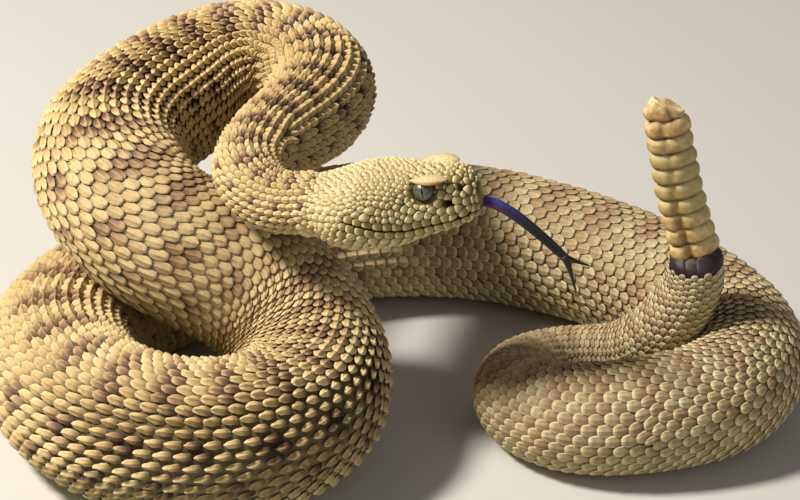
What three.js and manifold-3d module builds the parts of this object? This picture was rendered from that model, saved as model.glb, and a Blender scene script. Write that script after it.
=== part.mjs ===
// A western rattlesnake, life size, raised in a loose S over its own coil, tongue out and rattle up.
// Millimetres, +Z up. The head faces +X, the floor is z = 0 and the origin is under the middle of the box.
import * as THREE from 'three';
import { mergeVertices } from 'three/addons/utils/BufferGeometryUtils.js';
import Module from 'manifold-3d';

const wasm = await Module();
wasm.setup();

// Driving dimensions
const GAP = 0.4;                 // clear space between neighbouring solids
const SIT = 0.94;                // height of a resting backbone, as a share of the half width
const BELLY_FLAT = 0.99;         // depth of the belly's flat, as a share of the half width
const SIDES = 22;                // corners round the body
const RING_SHARE = 0.28;         // distance between rings, as a share of the half width
const SCALE_LIFT = 0.045;        // how proud a raised scale stands, as a share of the half width
const SCALE_SWEEP = 0.3;         // how far a scale's tip lies behind its middle, in ring distances
const BELLY_SINE = 0.72;         // a corner is on the belly where its downward sine is more than this
const TAIL_TURN_START = 62;      // the back turns from upright to leftwards on the tail: where it starts
const TAIL_TURN_END = 12;        // and where it has turned, both as distances from the tail's end
const TAIL_RING = 3.6;           // length of the dark ring at the tail's end
const RATTLE_SEGMENTS = 10;
const RATTLE_PITCH = 4.45;
const RATTLE_WIDE = 6.5;         // half width across the rattle's broad side
const RATTLE_THICK = 4.3;        // half width across its narrow side
const RATTLE_LEAN = 17;          // lean of the first rattle segment from upright, in degrees
const RATTLE_BEND = -0.8;        // change of lean from each segment to the next
const RATTLE_TAPER = 0.012;      // each next segment is smaller by this share
const RATTLE_WEAR = 0.12;        // further share lost by the worn last segment
const RATTLE_SEAT = 1.0;         // clear space under the first segment
const RATTLE_SIDES = 16;
const GROOVE_DEPTH = 0.2;        // depth of the groove along the broad side, as a share of the thickness
const GROOVE_WIDTH = 0.28;       // half width of that groove, as a share of the broad half width
const CENTRING = [0.5, 0.2, 0];  // brings the origin under the middle of the box

// The backbone's waypoints from the head's joint to the tail: x, y, z and the half width there
const RAISED_WAYPOINTS = [
  [-22.2, -24.3, 69.4, 7.7], [-33, -21.5, 67.2, 7.6], [-40, -12, 72, 8.8], [-34, 3, 72, 11],
  [-24, 20, 70, 12.8], [-19, 38, 70, 14.2], [-29, 53, 71, 15.6], [-46, 55, 69, 17.2],
  [-60, 47, 65, 18.3], [-72, 32, 63, 18.8], [-78, 15, 62, 19.1], [-73, 0, 57, 19.3],
  [-61, -8, 49, 19.4], [-46, -7, 41, 19.5], [-31, -9, 32, 19.5], [-21, -22, 23, 19.5],
  [-22, -41, 18.5, 19.5],
];
// The same on the floor, where the height follows from the half width: x, y and the half width
const FLOOR_WAYPOINTS = [
  [-37, -54, 19.5], [-59, -54, 19.5], [-77, -43, 19.5], [-87, -27, 19.5], [-90, -10, 19.5],
  [-84, 7, 19.4], [-73, 20, 19.3], [-59, 31, 19.3], [-44, 39, 19.2], [-28, 47, 19.1],
  [-12, 52, 19.1], [5, 54, 19], [23, 52, 18.8], [39, 46, 18.3], [54, 38, 17.8],
  [68, 29, 17.2], [81, 17, 16.5], [91, 2, 15.8], [92, -15, 15.4], [82, -30, 15.1],
  [63, -36, 14.9], [44, -38, 14], [30, -27, 12.4], [31, -11, 11], [46, -3, 10],
];
const TAIL_WAYPOINTS = [
  [62, -6, 11.5, 9.4], [71, -10, 27, 8.7], [77, -11, 39.2, 7.6], [75.8, -11, 46.9, 6.8],
];

// The lengths that the body is parted into: a name, and the distance from the head where it ends
const LENGTHS = [
  ['neck', 24], ['neck_bend', 58], ['body_shoulder', 100], ['body_top_arch', 142],
  ['body_left_loop', 186], ['body_slope', 228], ['body_front_bend', 272], ['body_front_left', 322],
  ['body_left_bend', 368], ['body_under_run', 428], ['body_back_left', 488], ['body_back_right', 548],
  ['body_right_bend', 600], ['body_front_right', 652], ['tail_bend', 694], ['tail', 'end'],
];

// The head: place of its joint with the neck, its yaw towards the front, its pitch up and its roll
const HEAD_JOINT = [-19.3, -25.1, 69.5];
const HEAD_YAW = 15;
const HEAD_PITCH = 12.5;
const HEAD_ROLL = 3;
const HEAD_SIDES = 28;
const HEAD_MIDDLE = -0.4;        // height of the widest line of a head section
// Head sections: distance forward, half width, top, bottom, squareness
const HEAD_SECTIONS = [
  [-2.6, 7.8, 7.9, -7.2, 2.0], [0, 8.8, 7.5, -8.0, 2.1], [3, 11.0, 7.4, -9.2, 2.2],
  [7, 13.2, 7.9, -10.1, 2.3], [12, 13.9, 8.8, -10.6, 2.4], [17, 13.1, 9.0, -10.5, 2.5],
  [22, 11.6, 8.6, -9.8, 2.6], [26, 10.1, 8.1, -8.8, 2.7], [29.5, 9.1, 7.8, -7.9, 2.8],
  [33, 8.2, 7.6, -7.1, 3.0], [36.6, 7.0, 7.2, -6.3, 3.0], [39.2, 5.4, 6.3, -5.4, 2.7],
  [40.7, 3.5, 4.7, -4.3, 2.4], [41.4, 1.5, 2.2, -2.8, 2.0],
];
// The mouth line seen from the side, from the snout to the corner: distance forward and height
const MOUTH_LINE = [
  [46, -2.9], [40, -3.1], [36, -3.5], [31, -3.9], [24, -4.1], [18, -2.6], [13, -0.4], [9.5, 1.0],
];
// Places and half sizes on the left side of the head: forward, sideways, up
const EYE_RADIUS = 2.75;
const EYE_PLACE = [29.4, 6.6, 4.9];
const EYE_CLEAR = 0.32;          // clear space between an eye and its socket
const BROW_PLACE = [31.3, 6.7, 7.3];
const BROW_SIZE = [4.8, 2.5, 1.25];
const BROW_TILT = 0.08;          // forward fall of the ridge over the eye, in radians
const NOSTRIL_PLACE = [38.4, 5.8, 4.4];
const NOSTRIL_SIZE = [0.75, 1.2, 1.2];
const PIT_PLACE = [35.0, 7.7, 1.1];
const PIT_SIZE = [1.2, 1.4, 0.95];
// The raised plates along each lip, on each side
const LIP_PLATES = 11;
const LIP_START = 12;            // distance forward of the first plate's middle
const LIP_STOP = 39.4;           // and of the last one's
const LIP_OFFSET = 1.5;          // from the mouth line to the middle of a plate
const LIP_HIGH = 1.0;            // half height of a plate
const LIP_PROUD = 0.4;           // how far a plate stands out
// The block below the mouth line that parts the lower jaw from the head
const JAW_FRONT = 46;
const JAW_FLOOR = -16;
const JAW_BACK_STEP = 1.5;       // how far the jaw's back edge lies behind the corner of the mouth
const JAW_BACK_DROP = 5;         // height over which it steps back
const JAW_HALF_WIDTH = 20;
// The tongue, in the head's own frame: forward, sideways, up, half thickness
const TONGUE_FLATNESS = 0.7;
const TINE_FLATNESS = 0.8;
const TONGUE = [
  [38.2, 0, -2.3, 1.0], [41.5, 0, -1.8, 1.1], [45, 0, -3.1, 1.15], [48.8, 0, -6.2, 1.15],
  [52.2, 0, -9.9, 1.1], [55.6, 0, -13.8, 1.0], [58.2, 0, -17.2, 0.95], [59.5, 0, -18.9, 0.8],
];
const TONGUE_TINES = [
  [[59.0, 0.2, -18.2, 0.62], [60.6, 1.0, -19.7, 0.5], [62.0, 2.0, -20.9, 0.4], [63.4, 3.0, -22.0, 0.3]],
  [[59.0, -0.2, -18.2, 0.62], [60.0, -0.9, -20.4, 0.5], [60.6, -1.9, -23.3, 0.4], [61.1, -3.0, -26.2, 0.3]],
];
// Outline of a rattle segment from its foot up: share of the height and share of the half width
const RATTLE_PROFILE = [[0, 0.86], [0.18, 0.97], [0.5, 1.0], [0.8, 0.94], [1, 0.8]];

const UP = new THREE.Vector3(0, 0, 1);

// A smooth curve drawn by its waypoints, each a three-part place with a fourth value carried along
class WaypointCurve extends THREE.Curve {
  constructor(rows) {
    super();
    this.rows = rows.map((row) => new THREE.Vector4(...row));
    this.arcLengthDivisions = 1600;
  }

  blend(t) {
    const rows = this.rows;
    const spans = rows.length - 1;
    const at = Math.min(Math.max(t, 0), 1) * spans;
    const span = Math.min(Math.floor(at), spans - 1);
    const f = at - span;
    const before = span > 0 ? rows[span - 1] : rows[0].clone().multiplyScalar(2).sub(rows[1]);
    const last = rows[spans].clone().multiplyScalar(2).sub(rows[spans - 1]);
    const after = span + 2 <= spans ? rows[span + 2] : last;
    return new THREE.Vector4(0, 0, 0, 0)
      .addScaledVector(before, (1 - f) ** 3 / 6)
      .addScaledVector(rows[span], (3 * f ** 3 - 6 * f ** 2 + 4) / 6)
      .addScaledVector(rows[span + 1], (-3 * f ** 3 + 3 * f ** 2 + 3 * f + 1) / 6)
      .addScaledVector(after, f ** 3 / 6);
  }

  getPoint(t, target = new THREE.Vector3()) {
    const place = this.blend(t);
    return target.set(place.x, place.y, place.z);
  }

  carried(t) {
    return this.blend(t).w;
  }
}

const backbone = new WaypointCurve([
  ...RAISED_WAYPOINTS,
  ...FLOOR_WAYPOINTS.map(([x, y, half]) => [x, y, SIT * half, half]),
  ...TAIL_WAYPOINTS,
]);
const BODY_LENGTH = backbone.getLength();

// The backbone at a distance from the head: place, direction, half width, the back's side and the flank's
function station(distance) {
  const t = backbone.getUtoTmapping(0, Math.min(Math.max(distance, 0), BODY_LENGTH));
  const along = backbone.getTangent(t);
  const [turnStart, turnEnd] = [BODY_LENGTH - TAIL_TURN_START, BODY_LENGTH - TAIL_TURN_END];
  const rise = THREE.MathUtils.smoothstep(distance, turnStart, turnEnd) * Math.PI / 2;
  const back = new THREE.Vector3(-Math.sin(rise), 0, Math.cos(rise));
  back.addScaledVector(along, -back.dot(along)).normalize();
  const flank = new THREE.Vector3().crossVectors(back, along).normalize();
  return { place: backbone.getPoint(t), half: backbone.carried(t), along, back, flank };
}

// A closed mesh from rings of points, each ring in the same order; the first and last are capped flat.
// The diagonal of each four-sided cell joins the corners for which raised() is false.
function ringSolid(rings, raised = () => false) {
  const sides = rings[0].length;
  const positions = rings.flat().flatMap((p) => [p.x, p.y, p.z]);
  const index = [];
  const at = (ring, corner) => ring * sides + (corner % sides);
  for (let ring = 0; ring < rings.length - 1; ring += 1) {
    for (let corner = 0; corner < sides; corner += 1) {
      const [a, b] = [at(ring, corner), at(ring, corner + 1)];
      const [c, d] = [at(ring + 1, corner + 1), at(ring + 1, corner)];
      if (raised(ring, corner)) {
        index.push(a, b, d, b, c, d);
      } else {
        index.push(a, b, c, a, c, d);
      }
    }
  }
  for (const [ring, turn] of [[0, 1], [rings.length - 1, -1]]) {
    const middle = rings[ring].reduce((sum, p) => sum.add(p), new THREE.Vector3()).divideScalar(sides);
    const hub = positions.length / 3;
    positions.push(middle.x, middle.y, middle.z);
    for (let corner = 0; corner < sides; corner += 1) {
      const pair = [at(ring, corner + 1), at(ring, corner)];
      index.push(hub, ...(turn > 0 ? pair : pair.reverse()));
    }
  }
  const geometry = new THREE.BufferGeometry();
  geometry.setAttribute('position', new THREE.Float32BufferAttribute(positions, 3));
  geometry.setIndex(index);
  return geometry;
}

// One length of the body. Its scales are coarse: each is a low diamond whose tip lies tailwards,
// in staggered rows, and the belly has plates across its whole width instead.
function bodyLength(from, to) {
  const middleHalf = station((from + to) / 2).half;
  const count = 2 * Math.round((to - from) / (2 * RING_SHARE * middleHalf));
  const step = (to - from) / count;
  const isBelly = (corner) => Math.sin((corner % SIDES) * 2 * Math.PI / SIDES) < -BELLY_SINE;
  const isRaised = (ring, corner) => (isBelly(corner) ? ring % 2 === 0 : (ring + corner) % 2 === 0);
  const rings = [];
  for (let ring = 0; ring <= count; ring += 1) {
    const inside = ring > 0 && ring < count;
    const points = [];
    for (let corner = 0; corner < SIDES; corner += 1) {
      const turn = corner * 2 * Math.PI / SIDES;
      const lifted = inside && isRaised(ring, corner);
      const spot = station(from + ring * step + (lifted ? SCALE_SWEEP * step : 0));
      const flat = Math.min(1, BELLY_FLAT / Math.max(-Math.sin(turn), 0.01));
      const reach = spot.half * flat * (lifted ? 1 : 1 - SCALE_LIFT);
      const point = spot.place.clone();
      point.addScaledVector(spot.flank, Math.cos(turn) * reach);
      point.addScaledVector(spot.back, Math.sin(turn) * reach);
      point.z = Math.max(point.z, 0);
      points.push(point);
    }
    rings.push(points);
  }
  return ringSolid(rings, isRaised);
}

// A round bar along waypoints, its half thickness carried by them and its height pressed flatter
function taperedBar(rows, sides, flatness = 1, grow = 0) {
  const curve = new WaypointCurve(rows);
  const count = Math.max(4, rows.length * 2);
  const rings = [];
  for (let ring = 0; ring <= count; ring += 1) {
    const t = ring / count;
    const place = curve.getPoint(t);
    const along = curve.getTangent(t);
    const flank = new THREE.Vector3().crossVectors(UP, along).normalize();
    const back = new THREE.Vector3().crossVectors(along, flank);
    const points = [];
    for (let corner = 0; corner < sides; corner += 1) {
      const turn = corner * 2 * Math.PI / sides;
      const half = curve.carried(t);
      points.push(place.clone()
        .addScaledVector(flank, -Math.cos(turn) * (half + grow))
        .addScaledVector(back, Math.sin(turn) * (half * flatness + grow)));
    }
    rings.push(points.reverse());
  }
  return ringSolid(rings);
}

// Joining and cutting of closed meshes
function toSolid(geometry) {
  const bare = geometry.clone();
  bare.deleteAttribute('normal');
  bare.deleteAttribute('uv');
  const merged = mergeVertices(bare, 1e-4);
  return new wasm.Manifold(new wasm.Mesh({
    numProp: 3,
    vertProperties: new Float32Array(merged.attributes.position.array),
    triVerts: new Uint32Array(merged.index.array),
  }));
}

function toGeometry(solid) {
  const pieces = solid.decompose();
  pieces.sort((a, b) => b.volume() - a.volume());
  const mesh = pieces[0].getMesh();
  const geometry = new THREE.BufferGeometry();
  geometry.setAttribute('position', new THREE.BufferAttribute(new Float32Array(mesh.vertProperties), 3));
  geometry.setIndex(new THREE.BufferAttribute(new Uint32Array(mesh.triVerts), 1));
  return geometry;
}

// An egg-shaped piece in the head's frame
function egg([x, y, z], [long, wide, high], detail = 2, tilt = 0) {
  const geometry = new THREE.IcosahedronGeometry(1, detail);
  geometry.scale(long, wide, high);
  geometry.rotateY(tilt);
  geometry.translate(x, y, z);
  return geometry;
}

// The outline of one head section
function headSection([forward, half, top, bottom, square]) {
  const points = [];
  for (let corner = 0; corner < HEAD_SIDES; corner += 1) {
    const turn = corner * 2 * Math.PI / HEAD_SIDES;
    const across = Math.sign(Math.cos(turn)) * Math.abs(Math.cos(turn)) ** (2 / square);
    const upright = Math.sign(Math.sin(turn)) * Math.abs(Math.sin(turn)) ** (2 / square);
    const reach = upright > 0 ? top - HEAD_MIDDLE : HEAD_MIDDLE - bottom;
    points.push(new THREE.Vector3(forward, across * half, HEAD_MIDDLE + upright * reach));
  }
  return points;
}

// A value between the head's sections, by the column asked for
function headProfile(forward, column) {
  const next = Math.max(1, HEAD_SECTIONS.findIndex((row) => row[0] > forward));
  const [low, high] = [HEAD_SECTIONS[next - 1], HEAD_SECTIONS[next]];
  return THREE.MathUtils.mapLinear(forward, low[0], high[0], low[column], high[column]);
}

// Half width of the head at a height
function headHalfAt(forward, height) {
  const reach = Math.abs(headProfile(forward, height > HEAD_MIDDLE ? 2 : 3) - HEAD_MIDDLE);
  const share = Math.min(0.98, Math.abs(height - HEAD_MIDDLE) / reach);
  const square = headProfile(forward, 4);
  return headProfile(forward, 1) * (1 - share ** square) ** (1 / square);
}

function mouthHeight(forward) {
  const next = MOUTH_LINE.findIndex((row) => row[0] < forward);
  const [ahead, behind] = [MOUTH_LINE[next - 1], MOUTH_LINE[next]];
  return THREE.MathUtils.mapLinear(forward, behind[0], ahead[0], behind[1], ahead[1]);
}

// A row of raised plates along one lip; above is +1 for the upper lip and -1 for the lower one
function lipPlates(above) {
  const plates = [];
  const pitch = (LIP_STOP - LIP_START) / (LIP_PLATES - 1);
  for (let plate = 0; plate < LIP_PLATES; plate += 1) {
    const forward = LIP_START + plate * pitch;
    const height = mouthHeight(forward) + above * LIP_OFFSET;
    const out = headHalfAt(forward, height);
    for (const side of [-1, 1]) {
      plates.push(toSolid(egg([forward, side * out, height], [pitch / 2, LIP_PROUD, LIP_HIGH], 0)));
    }
  }
  return plates;
}

// The region of the lower jaw, seen from the side and drawn out across the head
function jawRegion(raise) {
  const corner = MOUTH_LINE[MOUTH_LINE.length - 1];
  const back = corner[0] - JAW_BACK_STEP - raise;
  const outline = new THREE.Shape();
  outline.moveTo(JAW_FRONT, JAW_FLOOR);
  MOUTH_LINE.forEach(([forward, height]) => outline.lineTo(forward, height + raise));
  outline.lineTo(corner[0] - raise, corner[1] + raise);
  outline.lineTo(back, corner[1] - JAW_BACK_DROP);
  outline.lineTo(back, JAW_FLOOR);
  const geometry = new THREE.ExtrudeGeometry(outline, { depth: 2 * JAW_HALF_WIDTH, bevelEnabled: false });
  geometry.translate(0, 0, -JAW_HALF_WIDTH);
  geometry.rotateX(Math.PI / 2);
  return toSolid(geometry);
}

function union(solids) {
  return solids.reduce((sum, solid) => sum.add(solid));
}

// Head and lower jaw, cut from one form along the mouth line
function headSolids() {
  let form = toSolid(ringSolid(HEAD_SECTIONS.map(headSection)));
  const socket = EYE_RADIUS + EYE_CLEAR;
  for (const side of [-1, 1]) {
    const onSide = ([forward, sideways, up]) => [forward, side * sideways, up];
    form = form.add(toSolid(egg(onSide(BROW_PLACE), BROW_SIZE, 2, BROW_TILT)));
    form = form.subtract(toSolid(egg(onSide(EYE_PLACE), [socket, socket, socket])));
    form = form.subtract(toSolid(egg(onSide(NOSTRIL_PLACE), NOSTRIL_SIZE, 1)));
    form = form.subtract(toSolid(egg(onSide(PIT_PLACE), PIT_SIZE, 1)));
  }
  form = form.add(union(lipPlates(1))).add(union(lipPlates(-1)));
  const [root, ...rest] = TONGUE;
  const slot = taperedBar([[root[0] - GAP, ...root.slice(1)], ...rest], 10, TONGUE_FLATNESS, GAP);
  form = form.subtract(toSolid(slot));
  return { head: form.subtract(jawRegion(GAP)), jaw: form.intersect(jawRegion(0)) };
}

function tongueSolid() {
  const stem = toSolid(taperedBar(TONGUE, 10, TONGUE_FLATNESS));
  const tines = TONGUE_TINES.map((rows) => toSolid(taperedBar(rows, 8, TINE_FLATNESS)));
  return union([stem, ...tines]);
}

// One segment of the rattle, pinched along the middle of its broad side and waisted at both ends
function rattleSegment(size, height) {
  const rings = RATTLE_PROFILE.map(([share, swell]) => {
    const points = [];
    for (let corner = 0; corner < RATTLE_SIDES; corner += 1) {
      const turn = corner * 2 * Math.PI / RATTLE_SIDES;
      const groove = 1 - GROOVE_DEPTH * Math.exp(-((Math.cos(turn) / GROOVE_WIDTH) ** 2));
      const wide = Math.cos(turn) * RATTLE_WIDE * size * swell;
      const thick = Math.sin(turn) * RATTLE_THICK * size * swell * groove;
      points.push(new THREE.Vector3(wide, thick, share * height));
    }
    return points;
  });
  return ringSolid(rings);
}

// Finishes
const finish = (color, roughness) => new THREE.MeshStandardMaterial({ color, roughness, metalness: 0 });
const model = new THREE.Group();
model.position.set(...CENTRING);

function addMesh(parent, name, geometry, material) {
  const mesh = new THREE.Mesh(geometry, material);
  mesh.name = name;
  parent.add(mesh);
  return mesh;
}

// The body's lengths, neck to tail
const TAIL_END = BODY_LENGTH - TAIL_RING;
let start = 0;
for (const [name, stop] of LENGTHS) {
  const end = stop === 'end' ? TAIL_END : stop;
  addMesh(model, name, bodyLength(start + GAP / 2, end - GAP / 2), finish(0xb59a62, 0.6));
  start = end;
}

// The head and what it carries
const head = new THREE.Group();
head.position.set(...HEAD_JOINT);
head.rotation.set(
  THREE.MathUtils.degToRad(-HEAD_ROLL),
  THREE.MathUtils.degToRad(-HEAD_PITCH),
  THREE.MathUtils.degToRad(-HEAD_YAW),
  'ZYX',
);
model.add(head);
const { head: skull, jaw } = headSolids();
addMesh(head, 'head', toGeometry(skull), finish(0xc2b078, 0.55));
addMesh(head, 'lower_jaw', toGeometry(jaw), finish(0xcfc493, 0.55));
for (const [name, side] of [['eye_left', 1], ['eye_right', -1]]) {
  const eye = addMesh(head, name, new THREE.SphereGeometry(EYE_RADIUS, 16, 11), finish(0x55523f, 0.15));
  eye.position.set(EYE_PLACE[0], side * EYE_PLACE[1], EYE_PLACE[2]);
}
addMesh(head, 'tongue', toGeometry(tongueSolid()), finish(0x1c1f4a, 0.35));

// The dark ring at the tail's end and the rattle on it, each segment more upright than the one below
addMesh(model, 'tail_ring', bodyLength(TAIL_END + GAP / 2, BODY_LENGTH - GAP / 2), finish(0x2a1c26, 0.6));
const seat = station(BODY_LENGTH).place.clone().addScaledVector(UP, RATTLE_SEAT);
for (let segment = 0; segment < RATTLE_SEGMENTS; segment += 1) {
  const lean = THREE.MathUtils.degToRad(RATTLE_LEAN + segment * RATTLE_BEND);
  const size = 1 - RATTLE_TAPER * segment - (segment === RATTLE_SEGMENTS - 1 ? RATTLE_WEAR : 0);
  const number = String(segment + 1).padStart(2, '0');
  const height = RATTLE_PITCH - GAP;
  const mesh = addMesh(model, `rattle_${number}`, rattleSegment(size, height), finish(0xb98f57, 0.45));
  mesh.position.copy(seat);
  mesh.rotation.y = -lean;
  seat.addScaledVector(new THREE.Vector3(-Math.sin(lean), 0, Math.cos(lean)), RATTLE_PITCH);
}

export default model;
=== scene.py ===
"""Dresses a western rattlesnake model: one skin, keeled scales, head plates, eyes, tongue, rattle."""

import math

import bpy
import numpy as np
from bpy.props import FloatProperty, FloatVectorProperty, PointerProperty
from mathutils import Euler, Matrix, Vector
from mathutils.bvhtree import BVHTree


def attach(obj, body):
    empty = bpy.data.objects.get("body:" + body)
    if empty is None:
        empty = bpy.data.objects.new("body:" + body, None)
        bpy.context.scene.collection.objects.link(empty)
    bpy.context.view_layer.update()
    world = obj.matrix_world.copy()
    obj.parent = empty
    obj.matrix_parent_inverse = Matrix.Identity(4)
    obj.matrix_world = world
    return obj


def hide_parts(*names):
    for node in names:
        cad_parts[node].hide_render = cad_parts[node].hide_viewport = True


bl_info = {
    "name": "Rattlesnake Model",
    "version": (1, 0, 0),
    "blender": (4, 5, 0),
    "location": "3D View > Sidebar > Snake",
    "description": "Builds the skin, scales, head, tongue and rattle of a still rattlesnake model",
    "category": "Add Mesh",
}

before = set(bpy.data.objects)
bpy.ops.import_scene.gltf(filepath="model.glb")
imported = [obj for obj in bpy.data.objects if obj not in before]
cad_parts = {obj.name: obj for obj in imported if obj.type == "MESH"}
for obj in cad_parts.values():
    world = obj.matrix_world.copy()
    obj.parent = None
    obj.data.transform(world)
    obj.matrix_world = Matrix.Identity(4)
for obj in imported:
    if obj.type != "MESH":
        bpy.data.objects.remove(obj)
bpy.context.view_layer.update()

# Shapes are worked out in millimetres and written to meshes in metres
MM = 0.001

# The backbone of the solids: x, y, z and half width of each waypoint; on the floor, x, y and half width
# The whole is shifted by CENTRING, and what lies on the floor has its middle SIT half widths up
CENTRING = (0.5, 0.2, 0.0)
SIT = 0.94
RAISED_WAYPOINTS = (
    (-22.2, -24.3, 69.4, 7.7), (-33, -21.5, 67.2, 7.6), (-40, -12, 72, 8.8), (-34, 3, 72, 11),
    (-24, 20, 70, 12.8), (-19, 38, 70, 14.2), (-29, 53, 71, 15.6), (-46, 55, 69, 17.2),
    (-60, 47, 65, 18.3), (-72, 32, 63, 18.8), (-78, 15, 62, 19.1), (-73, 0, 57, 19.3),
    (-61, -8, 49, 19.4), (-46, -7, 41, 19.5), (-31, -9, 32, 19.5), (-21, -22, 23, 19.5),
    (-22, -41, 18.5, 19.5),
)
FLOOR_WAYPOINTS = (
    (-37, -54, 19.5), (-59, -54, 19.5), (-77, -43, 19.5), (-87, -27, 19.5), (-90, -10, 19.5),
    (-84, 7, 19.4), (-73, 20, 19.3), (-59, 31, 19.3), (-44, 39, 19.2), (-28, 47, 19.1),
    (-12, 52, 19.1), (5, 54, 19), (23, 52, 18.8), (39, 46, 18.3), (54, 38, 17.8),
    (68, 29, 17.2), (81, 17, 16.5), (91, 2, 15.8), (92, -15, 15.4), (82, -30, 15.1),
    (63, -36, 14.9), (44, -38, 14), (30, -27, 12.4), (31, -11, 11), (46, -3, 10),
)
TAIL_WAYPOINTS = ((62, -6, 11.5, 9.4), (71, -10, 27, 8.7), (77, -11, 39.2, 7.6), (75.8, -11, 46.9, 6.8))
# Half width of the thickest part, and the belly's reach as a share of the half width
FULL_HALF = 19.5
BELLY_FLAT = 0.99
# How far before its end the tail starts to turn its back, and ends it, and the length of its dark ring
TAIL_TURN = (62, 12)
TAIL_RING = 2.8

# The head: its joint with the neck, its turns in degrees, and the height of its sections' middles
HEAD_JOINT = (-19.3, -25.1, 69.5)
HEAD_YAW, HEAD_PITCH, HEAD_ROLL = 15, 12.5, 3
HEAD_MIDDLE = -0.4
# Its sections from neck to snout: forward, half width, top, bottom and squareness
HEAD_SECTIONS = (
    (-2.6, 7.8, 7.9, -7.2, 2.0), (0, 8.8, 7.5, -8.0, 2.1), (3, 11.0, 7.4, -9.2, 2.2),
    (7, 13.2, 7.9, -10.1, 2.3), (12, 13.9, 8.8, -10.6, 2.4), (17, 13.1, 9.0, -10.5, 2.5),
    (22, 11.6, 8.6, -9.8, 2.6), (26, 10.1, 8.1, -8.8, 2.7), (29.5, 9.1, 7.8, -7.9, 2.8),
    (33, 8.2, 7.6, -7.1, 3.0), (36.6, 7.0, 7.2, -6.3, 3.0), (39.2, 5.4, 6.3, -5.4, 2.7),
    (40.7, 3.5, 4.7, -4.3, 2.4), (41.4, 1.5, 2.2, -2.8, 2.0),
)
# The line of the mouth: forward and up
MOUTH_LINE = (
    (46, -2.9), (40, -3.1), (36, -3.5), (31, -3.9), (24, -4.1), (18, -2.6), (13, -0.4), (9.5, 1.0),
)
EYE_RADIUS = 2.75
EYE_PLACE = (29.4, 6.6, 4.9)
# The ridge over the eye: where it starts and ends, its fall forwards, and its section: sideways, up
BROW_START, BROW_END = 26.0, 35.6
BROW_FALL = 0.06
BROW_ANCHOR = (5.9, 7.0)
BROW_SECTION = (
    (3.0, 7.1), (4.6, 8.1), (6.6, 8.45), (8.4, 7.95), (9.25, 7.25), (8.8, 6.85), (6.6, 7.0), (3.6, 6.2),
)
# Forward and up
NOSTRIL_PLACE = (38.4, 4.4)
PIT_PLACE = (35.0, 1.1)

# Scales of the body
SCALE_ROWS = 31
# Widths of the rows next to the belly, from the lowest up, where the other rows have 1
EDGE_ROWS = (1.35, 1.15)
# Where the rows start on the right flank, and the turn that they span together
DORSAL_START, DORSAL_SPAN = math.radians(-46), math.radians(272)
# How scales grow with the half width of the body
SIZE_POWER = 0.75
# Rows that only the thicker part of the body has, each with the half width at which they end
THIN_ROWS = (((4, 5, 25, 26), 14.7), ((10, 11, 19, 20), 10.4))
# Rows that the forebody alone has, and the distances at which they start and end
FORE_ROWS, FORE_START, FORE_END = (7, 8, 22, 23), 96, 372
# Length over which a row comes in or goes out
ROW_FADE = 10
# How much a bend shortens the scale pitch along the backbone, so that it holds on the outer side
BEND_SHARE = 0.85
BEND_REACH = 15
# How far under the nominal skin the scales' roots and the skin lie, for the thickest part
SCALE_DEPTH = 0.85
# Where one stretch of scales ends and the next starts, and their names
PIECE_ENDS = (58, 142, 228, 322, 428, 548, 652)
PIECE_NAMES = ("neck", "shoulder", "loop", "front", "under", "back", "right", "tail")
# Where a scale starts and how long it is, in pitches from its middle, so that each overlaps the next
SCALE_START, SCALE_REACH = -0.66, 1.36
# Corners of a scale from root to tip and across, and its outline where it is blunt and where it is pointed
SCALE_LENGTHWAYS = np.array([0, 0.14, 0.33, 0.55, 0.76, 0.91, 1.0])
SCALE_ACROSS = np.array([-1, -0.64, -0.16, 0, 0.16, 0.64, 1])
BLUNT_OUTLINE = np.array([0.86, 1.0, 1.06, 1.06, 1.0, 0.82, 0.44])
KEEN_OUTLINE = np.array([0.66, 0.9, 1.0, 0.95, 0.72, 0.42, 0.1])
SCALE_THICKNESS = 0.34
KEEL_HALF_WIDTH = 0.15
# How strongly keeled and pointed, and how golden, the scales are along the body
LOOK_PLACES = (0, 60, 150, 180, 240, 275, 430, 490)
RIDGED = (0.5, 0.65, 0.7, 0.15, 0.12, 0.6, 0.45, 0.08)
GOLDEN = (0.6, 0.9, 0.9, 0.35, 0.3, 0.6, 0.5, 0.0)
# Where the swollen forebody parts its scales: the stretch, and the turns from its right flank in degrees
SWOLLEN_START, SWOLLEN_END, SWOLLEN_TURN = (232, 262), (300, 335), (35, 80)
# How far the scales run over the tail's ring
RING_OVERLAP = 0.4
# Size of one scale's patch on the unwrap
PATCH = 0.003

# Blotches: their spacing in half widths of the body, and where the first one lies
BLOTCH_PITCH, BLOTCH_SHIFT = 0.95, 0.5
# Half length in spacings, half width in degrees, and turn from the back's middle of each kind of blotch
BACK_BLOTCH, FLANK_BLOTCH, LOW_BLOTCH = (0.31, 44, 0), (0.26, 15, 66), (0.24, 13, 98)

# Belly plates: corners from front to free edge, half the turn that they span, and the bow of their edges
SCUTE_LENGTHWAYS = np.array([0, 0.3, 0.6, 0.85, 1.0])
SCUTE_HALF_TURN = 47.5
SCUTE_BOW = 0.2

# Head plates: corners round and rings out, the gap that each keeps, its depth and its seat in the form
HEAD_SPOKES = 14
HEAD_RINGS = (0.42, 0.78, 1.0)
PLATE_GAP = 0.045
PLATE_DEPTH = 0.62
PLATE_SEAT = 0.12
# How sharp the corners between the sides of a plate are
PLATE_SHARPNESS = 9
# Oval openings among the head's plates: forward, up, half length, half height and how far the rim dips
OPENINGS = (
    (EYE_PLACE[0] + 0.2, EYE_PLACE[2] - 0.3, 2.7, 2.05, 1.0),
    (PIT_PLACE[0], PIT_PLACE[1], 1.1, 1.0, 0.35),
    (NOSTRIL_PLACE[0], NOSTRIL_PLACE[1], 0.85, 1.15, 0.3),
)
RIM_REACH = 1.6
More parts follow.
